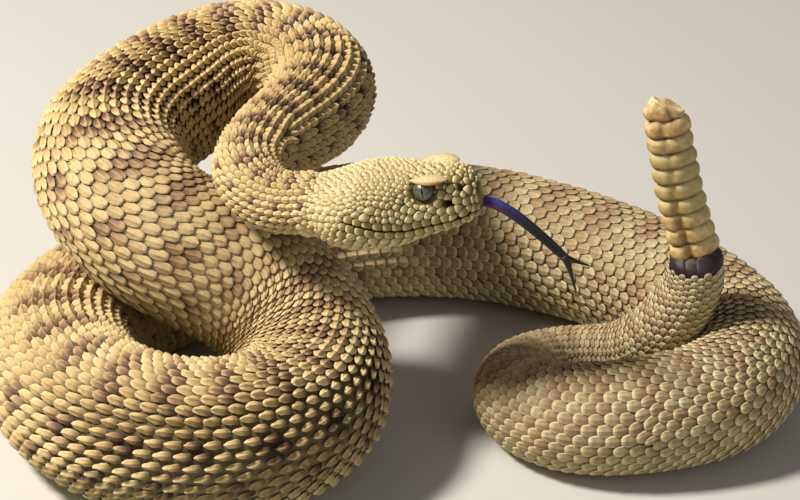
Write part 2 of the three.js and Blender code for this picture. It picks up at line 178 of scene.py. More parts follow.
# How far the lips' plates keep from the line of the mouth, their middles' distance, and where it ends
MOUTH_GAP = 0.26
LIP_RISE = 1.25
MOUTH_CORNER = 9
# Fall of the faint dark band from the eye to the jaw's corner
BAND_FALL = 0.3
# From here on the head's sections crowd, and the reach of the form and of the skin beyond it
SNOUT_START, FORM_REACH, SKIN_REACH = 38, 3.38, 3.3
# The shield at the snout's tip: its place, its bulge and its size over the form's end
SNOUT_TIP = 41.28
SNOUT_BULGE = 0.45
SNOUT_OVERLAP = 1.1

# Corners round the skin, and how far it lies under the head's form
SKIN_CORNERS = 128
SKIN_INSET = 0.55
# Length that the skin's unwrap stands for
UNWRAP_LENGTH = 800
# Hollows of the skin at eye, pit and nostril: place from the middle, half sizes and depth
HOLLOWS = (
    ((EYE_PLACE[0], EYE_PLACE[1] + 1.2, EYE_PLACE[2]), (3.5, 3.4, 3.2), 1.6),
    ((PIT_PLACE[0], 7.2, PIT_PLACE[1]), (1.5, 2.4, 1.3), 2.2),
    ((NOSTRIL_PLACE[0], 5.6, NOSTRIL_PLACE[1]), (1.1, 2.4, 1.4), 1.8),
)

# Rattle: its segments, their spacing, half sizes, lean and its change, their taper and the top's wear,
# and how far over the tail's end the first one starts
RATTLE_SEGMENTS = 10
RATTLE_PITCH = 4.45
RATTLE_WIDE, RATTLE_THICK = 6.5, 4.3
RATTLE_LEAN, RATTLE_BEND = 17, -0.8
RATTLE_TAPER, RATTLE_WEAR = 0.012, 0.12
RATTLE_SEAT = 1.0
# A segment's swell, as a share of its half sizes, at shares of its height
RATTLE_PROFILE = (
    (-0.1, 0.68), (-0.05, 0.79), (0.01, 0.875), (0.08, 0.935), (0.2, 0.98), (0.38, 1.0), (0.55, 0.995),
    (0.7, 0.96), (0.82, 0.91), (0.92, 0.85), (1.0, 0.77), (1.05, 0.66),
)
# How many times its own height the first segment's foot runs on down, into the tail's ring
FOOT_DEPTH = 20
# The groove of each segment: its place across the broad face, its depth, and its half width
GROOVE_PLACE = (-0.22, -0.26, -0.3, -0.32, -0.26, -0.2, -0.14, -0.2, -0.24, 0.3)
GROOVE_DEPTH = (0.42, 0.46, 0.44, 0.32, 0.2, 0.14, 0.12, 0.14, 0.2, 0.24)
GROOVE_WIDTH = 0.19
# The worn top's rise over its nominal height, from its left side to its right
BROKEN_TOP = ((-1, -1.3), (-0.5, 0.2), (0.3, 0.0), (0.6, -1.5), (1, -2.6))
# The collar of scales round the tail's end: how many, and how far it runs past the ring each way
RING_SCALES = 10
RING_BEFORE, RING_AFTER = 0.9, 1.3

# The tongue's stem and tines in the head's frame: forward, left, up and half width
TONGUE = (
    (38.2, 0, -2.3, 1.0), (41.5, 0, -1.8, 1.1), (45, 0, -3.1, 1.15), (48.8, 0, -6.2, 1.15),
    (52.2, 0, -9.9, 1.1), (55.6, 0, -13.8, 1.0), (58.2, 0, -17.2, 0.95), (59.5, 0, -18.9, 0.8),
)
TONGUE_TINES = (
    ((59.0, 0.2, -18.2, 0.7), (60.6, 1.0, -19.8, 0.55), (62.2, 2.1, -21.2, 0.36), (63.9, 3.2, -22.6, 0.16)),
    (
        (59.0, -0.2, -18.2, 0.7), (60.0, -0.9, -20.6, 0.55), (60.7, -1.9, -23.8, 0.36),
        (61.2, -3.0, -27.0, 0.16),
    ),
)
# How far the tongue's flat side turns to the right, and how broad the tongue is for its half width
TONGUE_ROLL = math.radians(40)
TONGUE_BREADTH = 1.25

# The photograph's view: target and distance in millimetres, elevation, lens and its sensor's width
VIEW_TARGET = (0.5, 21.2, 30)
VIEW_DISTANCE = 720
VIEW_ELEVATION = 30
VIEW_LENS = 120
SENSOR_WIDTH = 36

# The stage in metres: floor, colour of its faint clouds, colour of the world, and the two lights
FLOOR_SIZE = 6
FLOOR_CLOUD = (0.6, 0.58, 0.55)
WORLD_COLOR = (1.0, 0.98, 0.95, 1)
LIGHT_TARGET = (0, 0, 0.03)
LIGHTS = (
    ("key", (-0.6, -0.08, 0.8), 0.16, (1.0, 0.95, 0.86)),
    ("fill", (0.7, -0.9, 0.5), 0.8, (0.9, 0.95, 1.0)),
)


def smoothstep(value, low, high):
    """0 below low, 1 above high and smooth from one to the other."""
    share = np.clip((np.asarray(value, float) - low) / (high - low), 0, 1)
    return share * share * (3 - 2 * share)


def chance(number, salt=0.0):
    """A value from 0 to 1 that looks random and is always the same for a number."""
    return np.mod(np.sin(np.asarray(number, float) * 12.9898 + salt * 78.233) * 43758.5453, 1.0)


def around_one(number, salt, spread):
    """Values round 1, off by up to a spread either way, that look random."""
    return 1 - spread + 2 * spread * chance(number, salt)


def unit(vectors):
    """The same directions with length 1."""
    return vectors / np.linalg.norm(vectors, axis=-1, keepdims=True)


def turns_round(count):
    """Even turns once round."""
    return np.arange(count) * 2 * math.pi / count


def spline(rows, samples):
    """A uniform cubic B-spline over rows of numbers, running straight on at both ends."""
    rows = np.asarray(rows, float)
    rows = np.vstack([2 * rows[0] - rows[1], rows, 2 * rows[-1] - rows[-2]])
    spans = len(rows) - 3
    at = np.linspace(0, spans, samples)
    span = np.minimum(at.astype(int), spans - 1)
    f = (at - span)[:, None]
    parts = (
        (1 - f) ** 3 * rows[span],
        (3 * f**3 - 6 * f**2 + 4) * rows[span + 1],
        (-3 * f**3 + 3 * f**2 + 3 * f + 1) * rows[span + 2],
        f**3 * rows[span + 3],
    )
    return sum(parts) / 6


def hermite(at, knots, values):
    """A smooth curve through values at uneven knots."""
    knots, values = np.asarray(knots, float), np.asarray(values, float)
    slopes = np.gradient(values, knots)
    span = np.clip(np.searchsorted(knots, at, side="right") - 1, 0, len(knots) - 2)
    wide = knots[span + 1] - knots[span]
    f = np.clip((at - knots[span]) / wide, 0, 1)
    low, high = values[span], values[span + 1]
    ease = f * f * (3 - 2 * f)
    swing = wide * (f * (1 - f) ** 2 * slopes[span] - f * f * (1 - f) * slopes[span + 1])
    return low + (high - low) * ease + swing


def smoothed(values, reach, step):
    """Values at even steps, averaged over a reach."""
    window = np.hanning(int(reach / step) + 3)[1:-1]
    return np.convolve(values, window / window.sum(), "same")


class Body:
    """The backbone of the solids, with the half width, the back's side and the flank at each distance."""

    STEP = 0.5
    LEAD = 12

    def __init__(self, scale_pitch):
        floor = [(x, y, SIT * half, half) for x, y, half in FLOOR_WAYPOINTS]
        dense = spline([*RAISED_WAYPOINTS, *floor, *TAIL_WAYPOINTS], 16000)
        reach = np.r_[0, np.cumsum(np.linalg.norm(np.diff(dense[:, :3], axis=0), axis=1))]
        self.length = reach[-1]
        self.distance = np.arange(-self.LEAD, self.length + self.LEAD, self.STEP)
        inside = np.clip(self.distance, 0, self.length)
        place = np.stack([np.interp(inside, reach, dense[:, k]) for k in range(3)], axis=1)
        self.half = np.interp(inside, reach, dense[:, 3])
        first, last = unit(dense[1, :3] - dense[0, :3]), unit(dense[-1, :3] - dense[-2, :3])
        beyond = self.distance - inside
        place += np.minimum(beyond, 0)[:, None] * first + np.maximum(beyond, 0)[:, None] * last
        along = unit(np.gradient(place, self.distance, axis=0))
        start, stop = (self.length - before for before in TAIL_TURN)
        rise = smoothstep(self.distance, start, stop) * math.pi / 2
        back = np.stack([-np.sin(rise), 0 * rise, np.cos(rise)], axis=1)
        back = unit(back - (back * along).sum(axis=1, keepdims=True) * along)
        flank = unit(np.cross(back, along))
        self.table = np.column_stack([place + np.array(CENTRING), back, flank, self.half])
        self.size = (self.half / FULL_HALF) ** SIZE_POWER
        curved = np.linalg.norm(np.gradient(along, self.distance, axis=0), axis=1)
        self.bend = 1 + BEND_SHARE * self.half * smoothed(curved, 2 * BEND_REACH, self.STEP)
        self.pitch = scale_pitch * self.size / self.bend
        self.phase = self.running(1 / self.pitch)
        self.blotch = self.running(self.bend / (BLOTCH_PITCH * self.half))

    def running(self, rate):
        """The running total of a rate along the body, zero where the body starts."""
        total = np.r_[0, np.cumsum((rate[1:] + rate[:-1]) / 2 * self.STEP)]
        return total - np.interp(0, self.distance, total)

    def surface(self, distance, turn, rise):
        """Points at a turn round the body, from its right flank, at a rise over the nominal skin."""
        distance, turn, rise = np.broadcast_arrays(distance, turn, rise)
        columns = [np.interp(distance, self.distance, column) for column in self.table.T]
        place, back, flank = (np.stack(columns[k : k + 3], axis=-1) for k in (0, 3, 6))
        reach = columns[9] * np.minimum(1, BELLY_FLAT / np.maximum(-np.sin(turn), 0.01)) + rise
        outward = np.cos(turn)[..., None] * flank + np.sin(turn)[..., None] * back
        points = place + outward * reach[..., None]
        points[..., 2] = np.maximum(points[..., 2], 0)
        return points

    def markings(self, distance, turn):
        """How deep a place lies in a blotch: 0 outside, 1 in the middle of one."""
        phase = np.interp(distance, self.distance, self.blotch) + BLOTCH_SHIFT
        away = np.abs(np.degrees(turn) - 90)
        number = np.round(phase)
        wobble = chance(number, 1) - 0.5
        tailward = smoothstep(distance, self.length - 150, self.length - 70)
        on_back = phase - number
        between = phase - np.floor(phase) - 0.5
        wide = BACK_BLOTCH[1] + 60 * tailward + 10 * wobble
        back = (on_back / (BACK_BLOTCH[0] + 0.08 * wobble)) ** 2 + (away / wide) ** 2
        (flank_long, flank_wide, flank_turn), (low_long, low_wide, low_turn) = FLANK_BLOTCH, LOW_BLOTCH
        flank = (between / flank_long) ** 2 + ((away - flank_turn) / flank_wide) ** 2
        low = (on_back / low_long) ** 2 + ((away - low_turn) / low_wide) ** 2
        return np.clip(1.15 - np.minimum(back, np.minimum(flank + 0.12, low + 0.2)), 0, 1)


class Head:
    """The head's own frame and its smooth outer form."""

    def __init__(self):
        turns = Euler([math.radians(-angle) for angle in (HEAD_ROLL, HEAD_PITCH, HEAD_YAW)], "XYZ")
        self.axes = np.array(turns.to_matrix())
        self.joint = np.array(HEAD_JOINT) + np.array(CENTRING)
        self.columns = np.array(HEAD_SECTIONS, float).T

    def world(self, local):
        """Points of the head's frame in the model's frame."""
        return self.joint + local @ self.axes.T

    def section(self, forward):
        """Half width, top, bottom and squareness of the form."""
        return [hermite(forward, self.columns[0], column) for column in self.columns[1:]]

    def point(self, forward, turn, inset=0.0):
        """Points of the form at a turn from its right side, in the head's frame."""
        forward, turn = np.broadcast_arrays(np.asarray(forward, float), np.asarray(turn, float))
        half, top, bottom, square = self.section(forward)
        across = np.sign(np.cos(turn)) * np.abs(np.cos(turn)) ** (2 / square)
        upright = np.sign(np.sin(turn)) * np.abs(np.sin(turn)) ** (2 / square)
        reach = np.where(upright > 0, top - HEAD_MIDDLE, HEAD_MIDDLE - bottom)
        sideways = -across * np.maximum(half - inset, 0.1)
        height = HEAD_MIDDLE + upright * np.maximum(reach - inset, 0.1)
        return np.stack([forward, sideways, height], axis=-1)

    def turn_at(self, forward, height):
        """The turn on the right side at which the form is at a height."""
        half, top, bottom, square = self.section(np.asarray(forward, float))
        rise = np.asarray(height, float) - HEAD_MIDDLE
        share = np.abs(rise) / np.where(rise > 0, top - HEAD_MIDDLE, HEAD_MIDDLE - bottom)
        return np.sign(rise) * np.arcsin(np.clip(share, 0, 0.999) ** (square / 2))


def mouth_height(forward):
    """The height of the line between the lips, in the head's frame."""
    line = np.array(MOUTH_LINE[::-1], float)
    behind = line[0, 1] - 0.12 * np.maximum(line[0, 0] - forward, 0)
    return np.where(forward < line[0, 0], behind, np.interp(forward, line[:, 0], line[:, 1]))


# Meshes


def build_mesh(name, points, faces, marks, patches, finish, smooth=True):
    """A mesh of like pieces that share their faces: points are (pieces, corners, 3) in millimetres."""
    count, corners = points.shape[:2]
    template = np.concatenate([np.asarray(face) for face in faces])
    sizes = np.array([len(face) for face in faces])
    starts = np.r_[0, np.cumsum(sizes)[:-1]]
    loops = (template[None, :] + (np.arange(count) * corners)[:, None]).ravel()
    begins = (starts[None, :] + (np.arange(count) * len(template))[:, None]).ravel()
    mesh = bpy.data.meshes.new(name)
    mesh.vertices.add(count * corners)
    mesh.vertices.foreach_set("co", (points.reshape(-1) * MM).astype(np.float32))
    mesh.loops.add(len(loops))
    mesh.loops.foreach_set("vertex_index", loops.astype(np.int32))
    mesh.polygons.add(len(begins))
    mesh.polygons.foreach_set("loop_start", begins.astype(np.int32))
    mesh.polygons.foreach_set("loop_total", np.tile(sizes, count).astype(np.int32))
    mesh.polygons.foreach_set("use_smooth", np.full(len(begins), smooth))
    mesh.update(calc_edges=True)
    for title, values in marks.items():
        layer = mesh.attributes.new(title, "FLOAT", "POINT")
        spread = np.broadcast_to(values, points.shape[:2])
        layer.data.foreach_set("value", spread.reshape(-1).astype(np.float32))
    layer = mesh.uv_layers.new(name="OFBake")
    spread = np.broadcast_to(patches, (*points.shape[:2], 2)).reshape(-1, 2)
    layer.data.foreach_set("uv", spread[loops].reshape(-1).astype(np.float32))
    mesh.validate()
    mesh.materials.append(finish)
    piece = bpy.data.objects.new(name, mesh)
    bpy.context.scene.collection.objects.link(piece)
    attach(piece, "root")
    return piece


def sheet_faces(rows, columns, wrap=False):
    """Four-sided faces of a grid, facing out where columns run round and rows run tailwards."""
    faces = []
    for row in range(rows - 1):
        for column in range(columns if wrap else columns - 1):
            nearby = (column + 1) % columns
            a, b = row * columns + column, row * columns + nearby
            faces.append((a, b, b + columns, a + columns))
    return faces


def rim_order(rows, columns):
    """The corners round the edge of a grid, anticlockwise seen from outside."""
    top = list(range(columns))
    right = [row * columns + columns - 1 for row in range(1, rows)]
    end = [(rows - 1) * columns + column for column in range(columns - 2, -1, -1)]
    left = [row * columns for row in range(rows - 2, 0, -1)]
    return top + right + end + left


def plate_faces(top_faces, rim, first_low):
    """Closes a plate: its top faces, a wall down from the rim, and its underside."""
    count = len(rim)
    walls = []
    for k in range(count):
        after = (k + 1) % count
        walls.append((rim[k], first_low + k, first_low + after, rim[after]))
    return [*top_faces, *walls, tuple(first_low + k for k in range(count - 1, -1, -1))]


def tube_faces(rows, columns):
    """Faces of a grid that runs round, closed by one face at each end."""
    first = tuple(range(columns))[::-1]
    last = tuple((rows - 1) * columns + column for column in range(columns))
    return [*sheet_faces(rows, columns, wrap=True), first, last]


def fan_faces(rows, columns):
    """Faces of a grid that runs round, closed by fans to two more corners: first end, then last."""
    faces = sheet_faces(rows, columns, wrap=True)
    last = (rows - 1) * columns
    for k in range(columns):
        after = (k + 1) % columns
        faces.append((rows * columns, after, k))
        faces.append((rows * columns + 1, last + k, last + after))
    return faces


def plate_sheet(rows, columns):
    """A plate from a grid: its faces, the corners of its rim, and the row and column of each of those."""
    rim = rim_order(rows, columns)
    faces = plate_faces(sheet_faces(rows, columns), rim, rows * columns)
    return faces, rim, *np.divmod(rim, columns)


def scale_rows(body):
    """The middle and half width of each row of scales, as turns, at each distance of the body's table."""
    weight = np.ones((len(body.distance), SCALE_ROWS))
    for row, share in enumerate(EDGE_ROWS):
        weight[:, [row, -1 - row]] = share

    def fading(present):
        return smoothed(present, ROW_FADE, body.STEP)[:, None]

    for rows, least in THIN_ROWS:
        weight[:, rows] *= fading(body.half > least)
    weight[:, FORE_ROWS] *= fading((body.distance > FORE_START) & (body.distance < FORE_END))
    across = weight / weight.sum(axis=1, keepdims=True) * DORSAL_SPAN
    return DORSAL_START + np.cumsum(across, axis=1) - across / 2, across / 2, weight




def body_scales(body, settings, finish):
    """The keeled scales of back and flanks, in staggered rows, as one mesh for each stretch of the body."""
    middle, half_turn, weight = scale_rows(body)
    row_of, at_phase = [], []
    for row in range(SCALE_ROWS):
        steps = np.arange(-1, int(body.phase[-1]) + 1) + 0.5 * (row % 2)
        spot = np.interp(steps, body.phase, body.distance)
        kept = (np.interp(spot, body.distance, weight[:, row]) > 0.5) & (spot > -2)
        kept &= spot < body.length - TAIL_RING + RING_OVERLAP
        row_of.append(np.full(kept.sum(), row))
        at_phase.append(steps[kept])
    row_of, at_phase = np.concatenate(row_of), np.concatenate(at_phase)
    number = np.arange(len(row_of))
    centre = np.interp(at_phase, body.phase, body.distance)
    size = np.interp(centre, body.distance, body.size)

    def by_row(table, distance):
        values = np.empty(distance.shape)
        for row in range(SCALE_ROWS):
            mine = row_of == row
            values[mine] = np.interp(distance[mine], body.distance, table[:, row])
        return values

    turn_middle = by_row(middle, centre)
    turn_half = by_row(half_turn, centre)
    ahead = body.surface(centre + 1, turn_middle, 0)
    stretch = np.linalg.norm(ahead - body.surface(centre - 1, turn_middle, 0), axis=-1) / 2
    room = stretch / np.interp(centre, body.distance, body.bend)
    swollen = smoothstep(centre, *SWOLLEN_START) * (1 - smoothstep(centre, *SWOLLEN_END))
    swollen = swollen * (1 - smoothstep(np.degrees(turn_middle), *SWOLLEN_TURN))
    swollen = swollen * smoothstep(room, 0.6, 0.85)
    crowd = np.clip(0.85 - room, 0, 0.6)
    fore = 1 - smoothstep(centre, 110, 180)
    ridged = np.interp(centre, LOOK_PLACES, RIDGED)
    golden = np.interp(centre, LOOK_PLACES, GOLDEN)
    keen = np.clip(np.maximum(ridged, np.maximum(swollen, 1.2 * crowd)), 0, 1)[:, None]
    outline = BLUNT_OUTLINE * (1 - keen) + KEEN_OUTLINE * keen
    length = (1 + 0.3 * crowd) * (1 - 0.33 * swollen) * around_one(number, 2, 0.04)
    lengthways = SCALE_LENGTHWAYS[None, :]
    phase = at_phase[:, None] + (SCALE_START + SCALE_REACH * lengthways) * length[:, None]
    distance = np.interp(phase, body.phase, body.distance)
    lean = (chance(number, 3) - 0.5) * 0.3
    corner = np.arange(len(SCALE_LENGTHWAYS))[:, None] * 7 + np.arange(len(SCALE_ACROSS))[None, :] * 3
    ragged = chance(number[:, None, None] * 31 + corner[None], 15) - 0.5
    wide = settings.scale_width * around_one(number, 4, 0.04)
    wide = wide * (1 - 0.36 * swollen) * (1 - 0.1 * fore)
    across = SCALE_ACROSS[None, None, :] * outline[:, :, None] * wide[:, None, None]
    across = across + (lean[:, None] * (lengthways - 0.5))[..., None] + 0.2 * ragged
    turn = by_row(middle, distance)[..., None] + turn_half[:, None, None] * across

    low_row = np.minimum(row_of, SCALE_ROWS - 1 - row_of)
    keel_height = settings.keel_height / MM * np.clip((low_row + 0.4) / 3, 0.1, 1)
    keel_height = keel_height * (0.45 + 2.1 * ridged + 0.3 * swollen)
    u, v = SCALE_ACROSS[None, None, :], lengthways[..., None]
    lift = (settings.scale_lift / MM) * around_one(number, 5, 0.12) * (1 + 0.7 * crowd + 0.2 * fore)
    roof = (0.2 + 0.5 * ridged)[:, None, None] * (1 - np.abs(u) ** 1.3)
    dome = roof * np.sin(np.pi * np.clip(v * 0.85 + 0.12, 0, 1))
    keel = np.exp(-((u / KEEL_HALF_WIDTH) ** 2)) * smoothstep(v, 0.08, 0.45)
    keel = keel * (1 - 0.6 * smoothstep(v, 0.9, 1.0))
    height = lift[:, None, None] * v**0.9 - SCALE_DEPTH + 0.04 - 0.1 * v**3 * u**2 + dome
    height = height - 0.2 * smoothstep(v, 0.9, 1.0)
    height = (height + keel_height[:, None, None] * keel + 0.14 * ragged) * size[:, None, None]
    top = body.surface(distance[..., None], turn, height).reshape(len(number), -1, 3)

    rows, columns = len(SCALE_LENGTHWAYS), len(SCALE_ACROSS)
    faces, rim, rim_row, rim_column = plate_sheet(rows, columns)
    under = height[:, rim_row, rim_column] - SCALE_THICKNESS * size[:, None]
    under = np.maximum(under, -SCALE_DEPTH * size[:, None] - 0.05)
    low_turn = turn[:, rim_row, rim_column]
    low_turn = low_turn + (turn_middle[:, None] - low_turn) * 0.07
    low = body.surface(distance[:, rim_row], low_turn, under)

    def to_all(values):
        values = np.broadcast_to(values, (len(number), rows, columns)).reshape(len(number), -1)
        return np.concatenate([values, values[:, rim]], axis=1)

    blotch = body.markings(centre, turn_middle + 0.05 * (chance(number, 6) - 0.5))
    blotch = np.clip(blotch + 0.2 * (chance(number, 7) - 0.5), 0, 1)
    marks = {
        "blotch": blotch[:, None, None],
        "tone": chance(number, 8)[:, None, None],
        "run": v,
        "side": np.abs(u),
        "keel": keel,
        "low": smoothstep(np.abs(np.degrees(turn_middle) - 90), 60, 132)[:, None, None],
        "golden": golden[:, None, None],
        "pale": smoothstep(centre, body.length - 45, body.length - 14)[:, None, None],
    }
    marks = {title: to_all(values) for title, values in marks.items()}
    marks["wall"] = np.broadcast_to(np.r_[np.zeros(rows * columns), np.ones(len(rim))], marks["run"].shape)
    roots = patch_root(body, centre, turn_middle)
    patches = roots[:, None, :] + np.stack([to_all(v - 0.5), to_all(0.5 * u)], axis=-1) * PATCH

    ends = [-np.inf, *PIECE_ENDS, np.inf]
    pieces = []
    for name, start, stop in zip(PIECE_NAMES, ends[:-1], ends[1:]):
        mine = (centre > start) & (centre <= stop)
        part = {title: value[mine] for title, value in marks.items()}
        points = np.concatenate([top[mine], low[mine]], axis=1)
        pieces.append(build_mesh(f"scales_{name}", points, faces, part, patches[mine], finish))
    return pieces


def patch_root(body, distance, turn):
    """Where a place on the body lies on the skin's unwrap."""
    run = (distance + body.LEAD) / (body.length + 2 * body.LEAD)
    return np.stack(np.broadcast_arrays(run, (turn + np.pi) / (2 * np.pi)), axis=-1) * 0.98 + 0.01


def belly_scutes(body, finish):
    """The broad plates across the belly, each with its free edge towards the tail."""
    steps = np.arange(0, int(body.phase[-1])) + 0.25
    centre = np.interp(steps, body.phase, body.distance)
    kept = (centre > -1) & (centre < body.length - TAIL_RING)
    steps, centre = steps[kept], centre[kept]
    size = np.interp(centre, body.distance, body.size)
    across = np.linspace(-1, 1, 13)
    v, u = SCUTE_LENGTHWAYS[None, :, None], across[None, None, :]
    phase = steps[:, None, None] + (-0.5 + 1.3 * v) - SCUTE_BOW * u**2
    distance = np.interp(phase, body.phase, body.distance)
    turn = np.radians(-90 + SCUTE_HALF_TURN * u) + 0 * distance
    height = (0.62 * v - 0.72 - 0.1 * np.abs(u) ** 6) * size[:, None, None]
    top = body.surface(distance, turn, height).reshape(len(steps), -1, 3)
    rows, columns = len(SCUTE_LENGTHWAYS), len(across)
    faces, rim, rim_row, rim_column = plate_sheet(rows, columns)
    low_height = height[:, rim_row, rim_column] - 0.22 * size[:, None]
    low = body.surface(distance[:, rim_row, rim_column], turn[:, rim_row, rim_column], low_height)
    run = np.repeat(SCUTE_LENGTHWAYS, columns)
    marks = {
        "blotch": 0.4 * body.markings(centre, np.radians(-8))[:, None],
        "tone": chance(np.arange(len(steps)), 9)[:, None],
        "run": np.r_[run, run[rim]][None, :],
        "side": 0.0,
        "keel": 0.0,
        "low": 1.4,
        "wall": np.r_[np.zeros(len(run)), np.ones(len(rim))][None, :],
    }
    spread = np.stack([run - 0.5, np.tile(across, rows) / 2], axis=-1) * PATCH
    spread = np.concatenate([spread, spread[rim]])
    patches = patch_root(body, centre, np.radians(-172.0))[:, None, :] + spread[None]
    points = np.concatenate([top, low], axis=1)
    return build_mesh("belly_scutes", points, faces, marks, patches, finish)


def head_seeds(head):
    """The plates of the head's right side: forward, turn, half size, keel, tilt, built or not, tint."""
    seeds = []

    def add(forward, turn, radius, keel=0.0, tilt=0.0, built=1, tint=0.0):
        seeds.append((forward, turn, radius, keel, tilt, built, tint))

    def at_height(forward, height, radius, **more):
        add(forward, float(head.turn_at(forward, height)), radius, **more)

    grid_forward = np.arange(-4, 42.2, 0.25)
    grid_turn = np.radians(np.linspace(90, -90, 241))
    grid = head.point(grid_forward[:, None], grid_turn[None, :])
    arcs = np.cumsum(np.linalg.norm(np.diff(grid, axis=1), axis=-1), axis=1)
    arcs = np.concatenate([np.zeros((len(grid), 1)), arcs], axis=1)

    def arc_row(forward):
        return arcs[int(np.clip(round((forward + 4) / 0.25), 0, len(arcs) - 1))]

    def at_arc(forward, arc, radius, **more):
        row = arc_row(forward)
        if 0 <= arc <= row[-1]:
            add(forward, float(np.interp(arc, row, grid_turn)), radius, **more)

    def on_beat(forward, step, pitch):
        return (forward + (step % 2) * pitch / 2) % pitch < 0.125

    # Openings, which hold their place among the plates and stay empty
    at_height(EYE_PLACE[0], EYE_PLACE[2] - 0.2, 2.6, built=0)
    at_height(PIT_PLACE[0], PIT_PLACE[1], 0.8, built=0)
    at_height(NOSTRIL_PLACE[0], NOSTRIL_PLACE[1], 0.65, built=0)
    for forward in (27.6, 30.2, 32.8):
        at_height(forward, 7.0, 1.2, built=0)

    # Plates of the snout and round the eye
    add(41.1, math.pi * 0.03, 1.4, tint=0.6)
    for forward, height, radius in (
        (36.2, 4.6, 1.2), (40.1, 3.2, 1.2), (33.9, 3.9, 1.2), (33.7, 5.8, 1.0), (35.6, 2.9, 0.95),
        (37.6, 1.6, 1.1), (32.8, 1.6, 0.95), (39.4, 0.6, 1.1), (33.4, -0.5, 0.9), (35.4, -0.8, 0.9),
        (37.4, -0.7, 0.95), (31.4, 0.4, 0.9),
    ):
        at_height(forward, height, radius, tilt=0.12, tint=0.55)
    for forward, arc, radius in (
        (40.5, 1.2, 1.1), (39.8, 3.3, 1.1), (37.9, 1.5, 1.3), (37.4, 4.4, 1.3), (35.4, 4.9, 1.4),
    ):
        at_arc(forward, arc, radius, tilt=0.12, tint=0.3)
    for degrees in range(165, 400, 26):
        bearing = math.radians(degrees)
        forward = EYE_PLACE[0] + 3.75 * math.cos(bearing)
        height = EYE_PLACE[2] - 0.3 + 3.0 * math.sin(bearing)
        at_height(forward, height, 0.72, tint=0.25)

    # Lips above and below the mouth line
    for forward in np.arange(11.2, 40.8, 2.25):
        for above in (1, -1):
            at_height(forward, float(mouth_height(forward)) + above * LIP_RISE, 1.2, tint=0.75)
    add(41.0, math.radians(-70), 1.2, tint=0.6)

    # Cheek, chin and crown in staggered rows
    for forward in np.arange(-2.5, 41, 0.25):
        row = arc_row(forward)
        lip = np.interp(-head.turn_at(forward, mouth_height(forward)), -grid_turn, row)
        top_height = np.interp(forward, [0, 12, 22, 27], [4.5, 3.6, 3.4, 2.6])
        crown = np.interp(-head.turn_at(forward, top_height), -grid_turn, row)
        for step in range(1, 7):
            arc = lip - LIP_RISE - 2.05 * step
            if on_beat(forward, step, 2.45) and arc > crown and forward < 33:
                at_arc(forward, arc, 1.15, keel=0.2, tilt=0.46, tint=0.3 - 0.03 * step)
        for step in range(1, 9):
            arc = lip + LIP_RISE + 2.2 * step
            if on_beat(forward, step, 2.5) and arc < row[-1] - 0.9:
                at_arc(forward, arc, 1.2, tilt=0.2, tint=0.4)
        for step in range(0, 16):
            pitch = float(np.interp(forward, [0, 10, 26, 38], [2.3, 2.05, 1.7, 1.9]))
            across = float(np.interp(forward, [0, 20, 38], [1.42, 1.3, 1.5]))
            beat = (forward / pitch + (step % 2) / 2) % 1.0
            if beat < 0.25 / pitch and step * across < crown + 0.3:
                at_arc(forward, step * across, 0.72, keel=0.24, tilt=0.34)
    return seeds


def thin_out(places, radii, close, kept=()):
    """Adds to those kept each place that stands clear of all kept before it, by a share of both radii."""
    kept = list(kept)
    for index in range(len(places)):
        if index in kept:
            continue
        if kept:
            gaps = np.linalg.norm(places[kept] - places[index], axis=1)
            if np.any(gaps < close * (radii[kept] + radii[index])):
                continue
        kept.append(index)
    return np.array(kept)


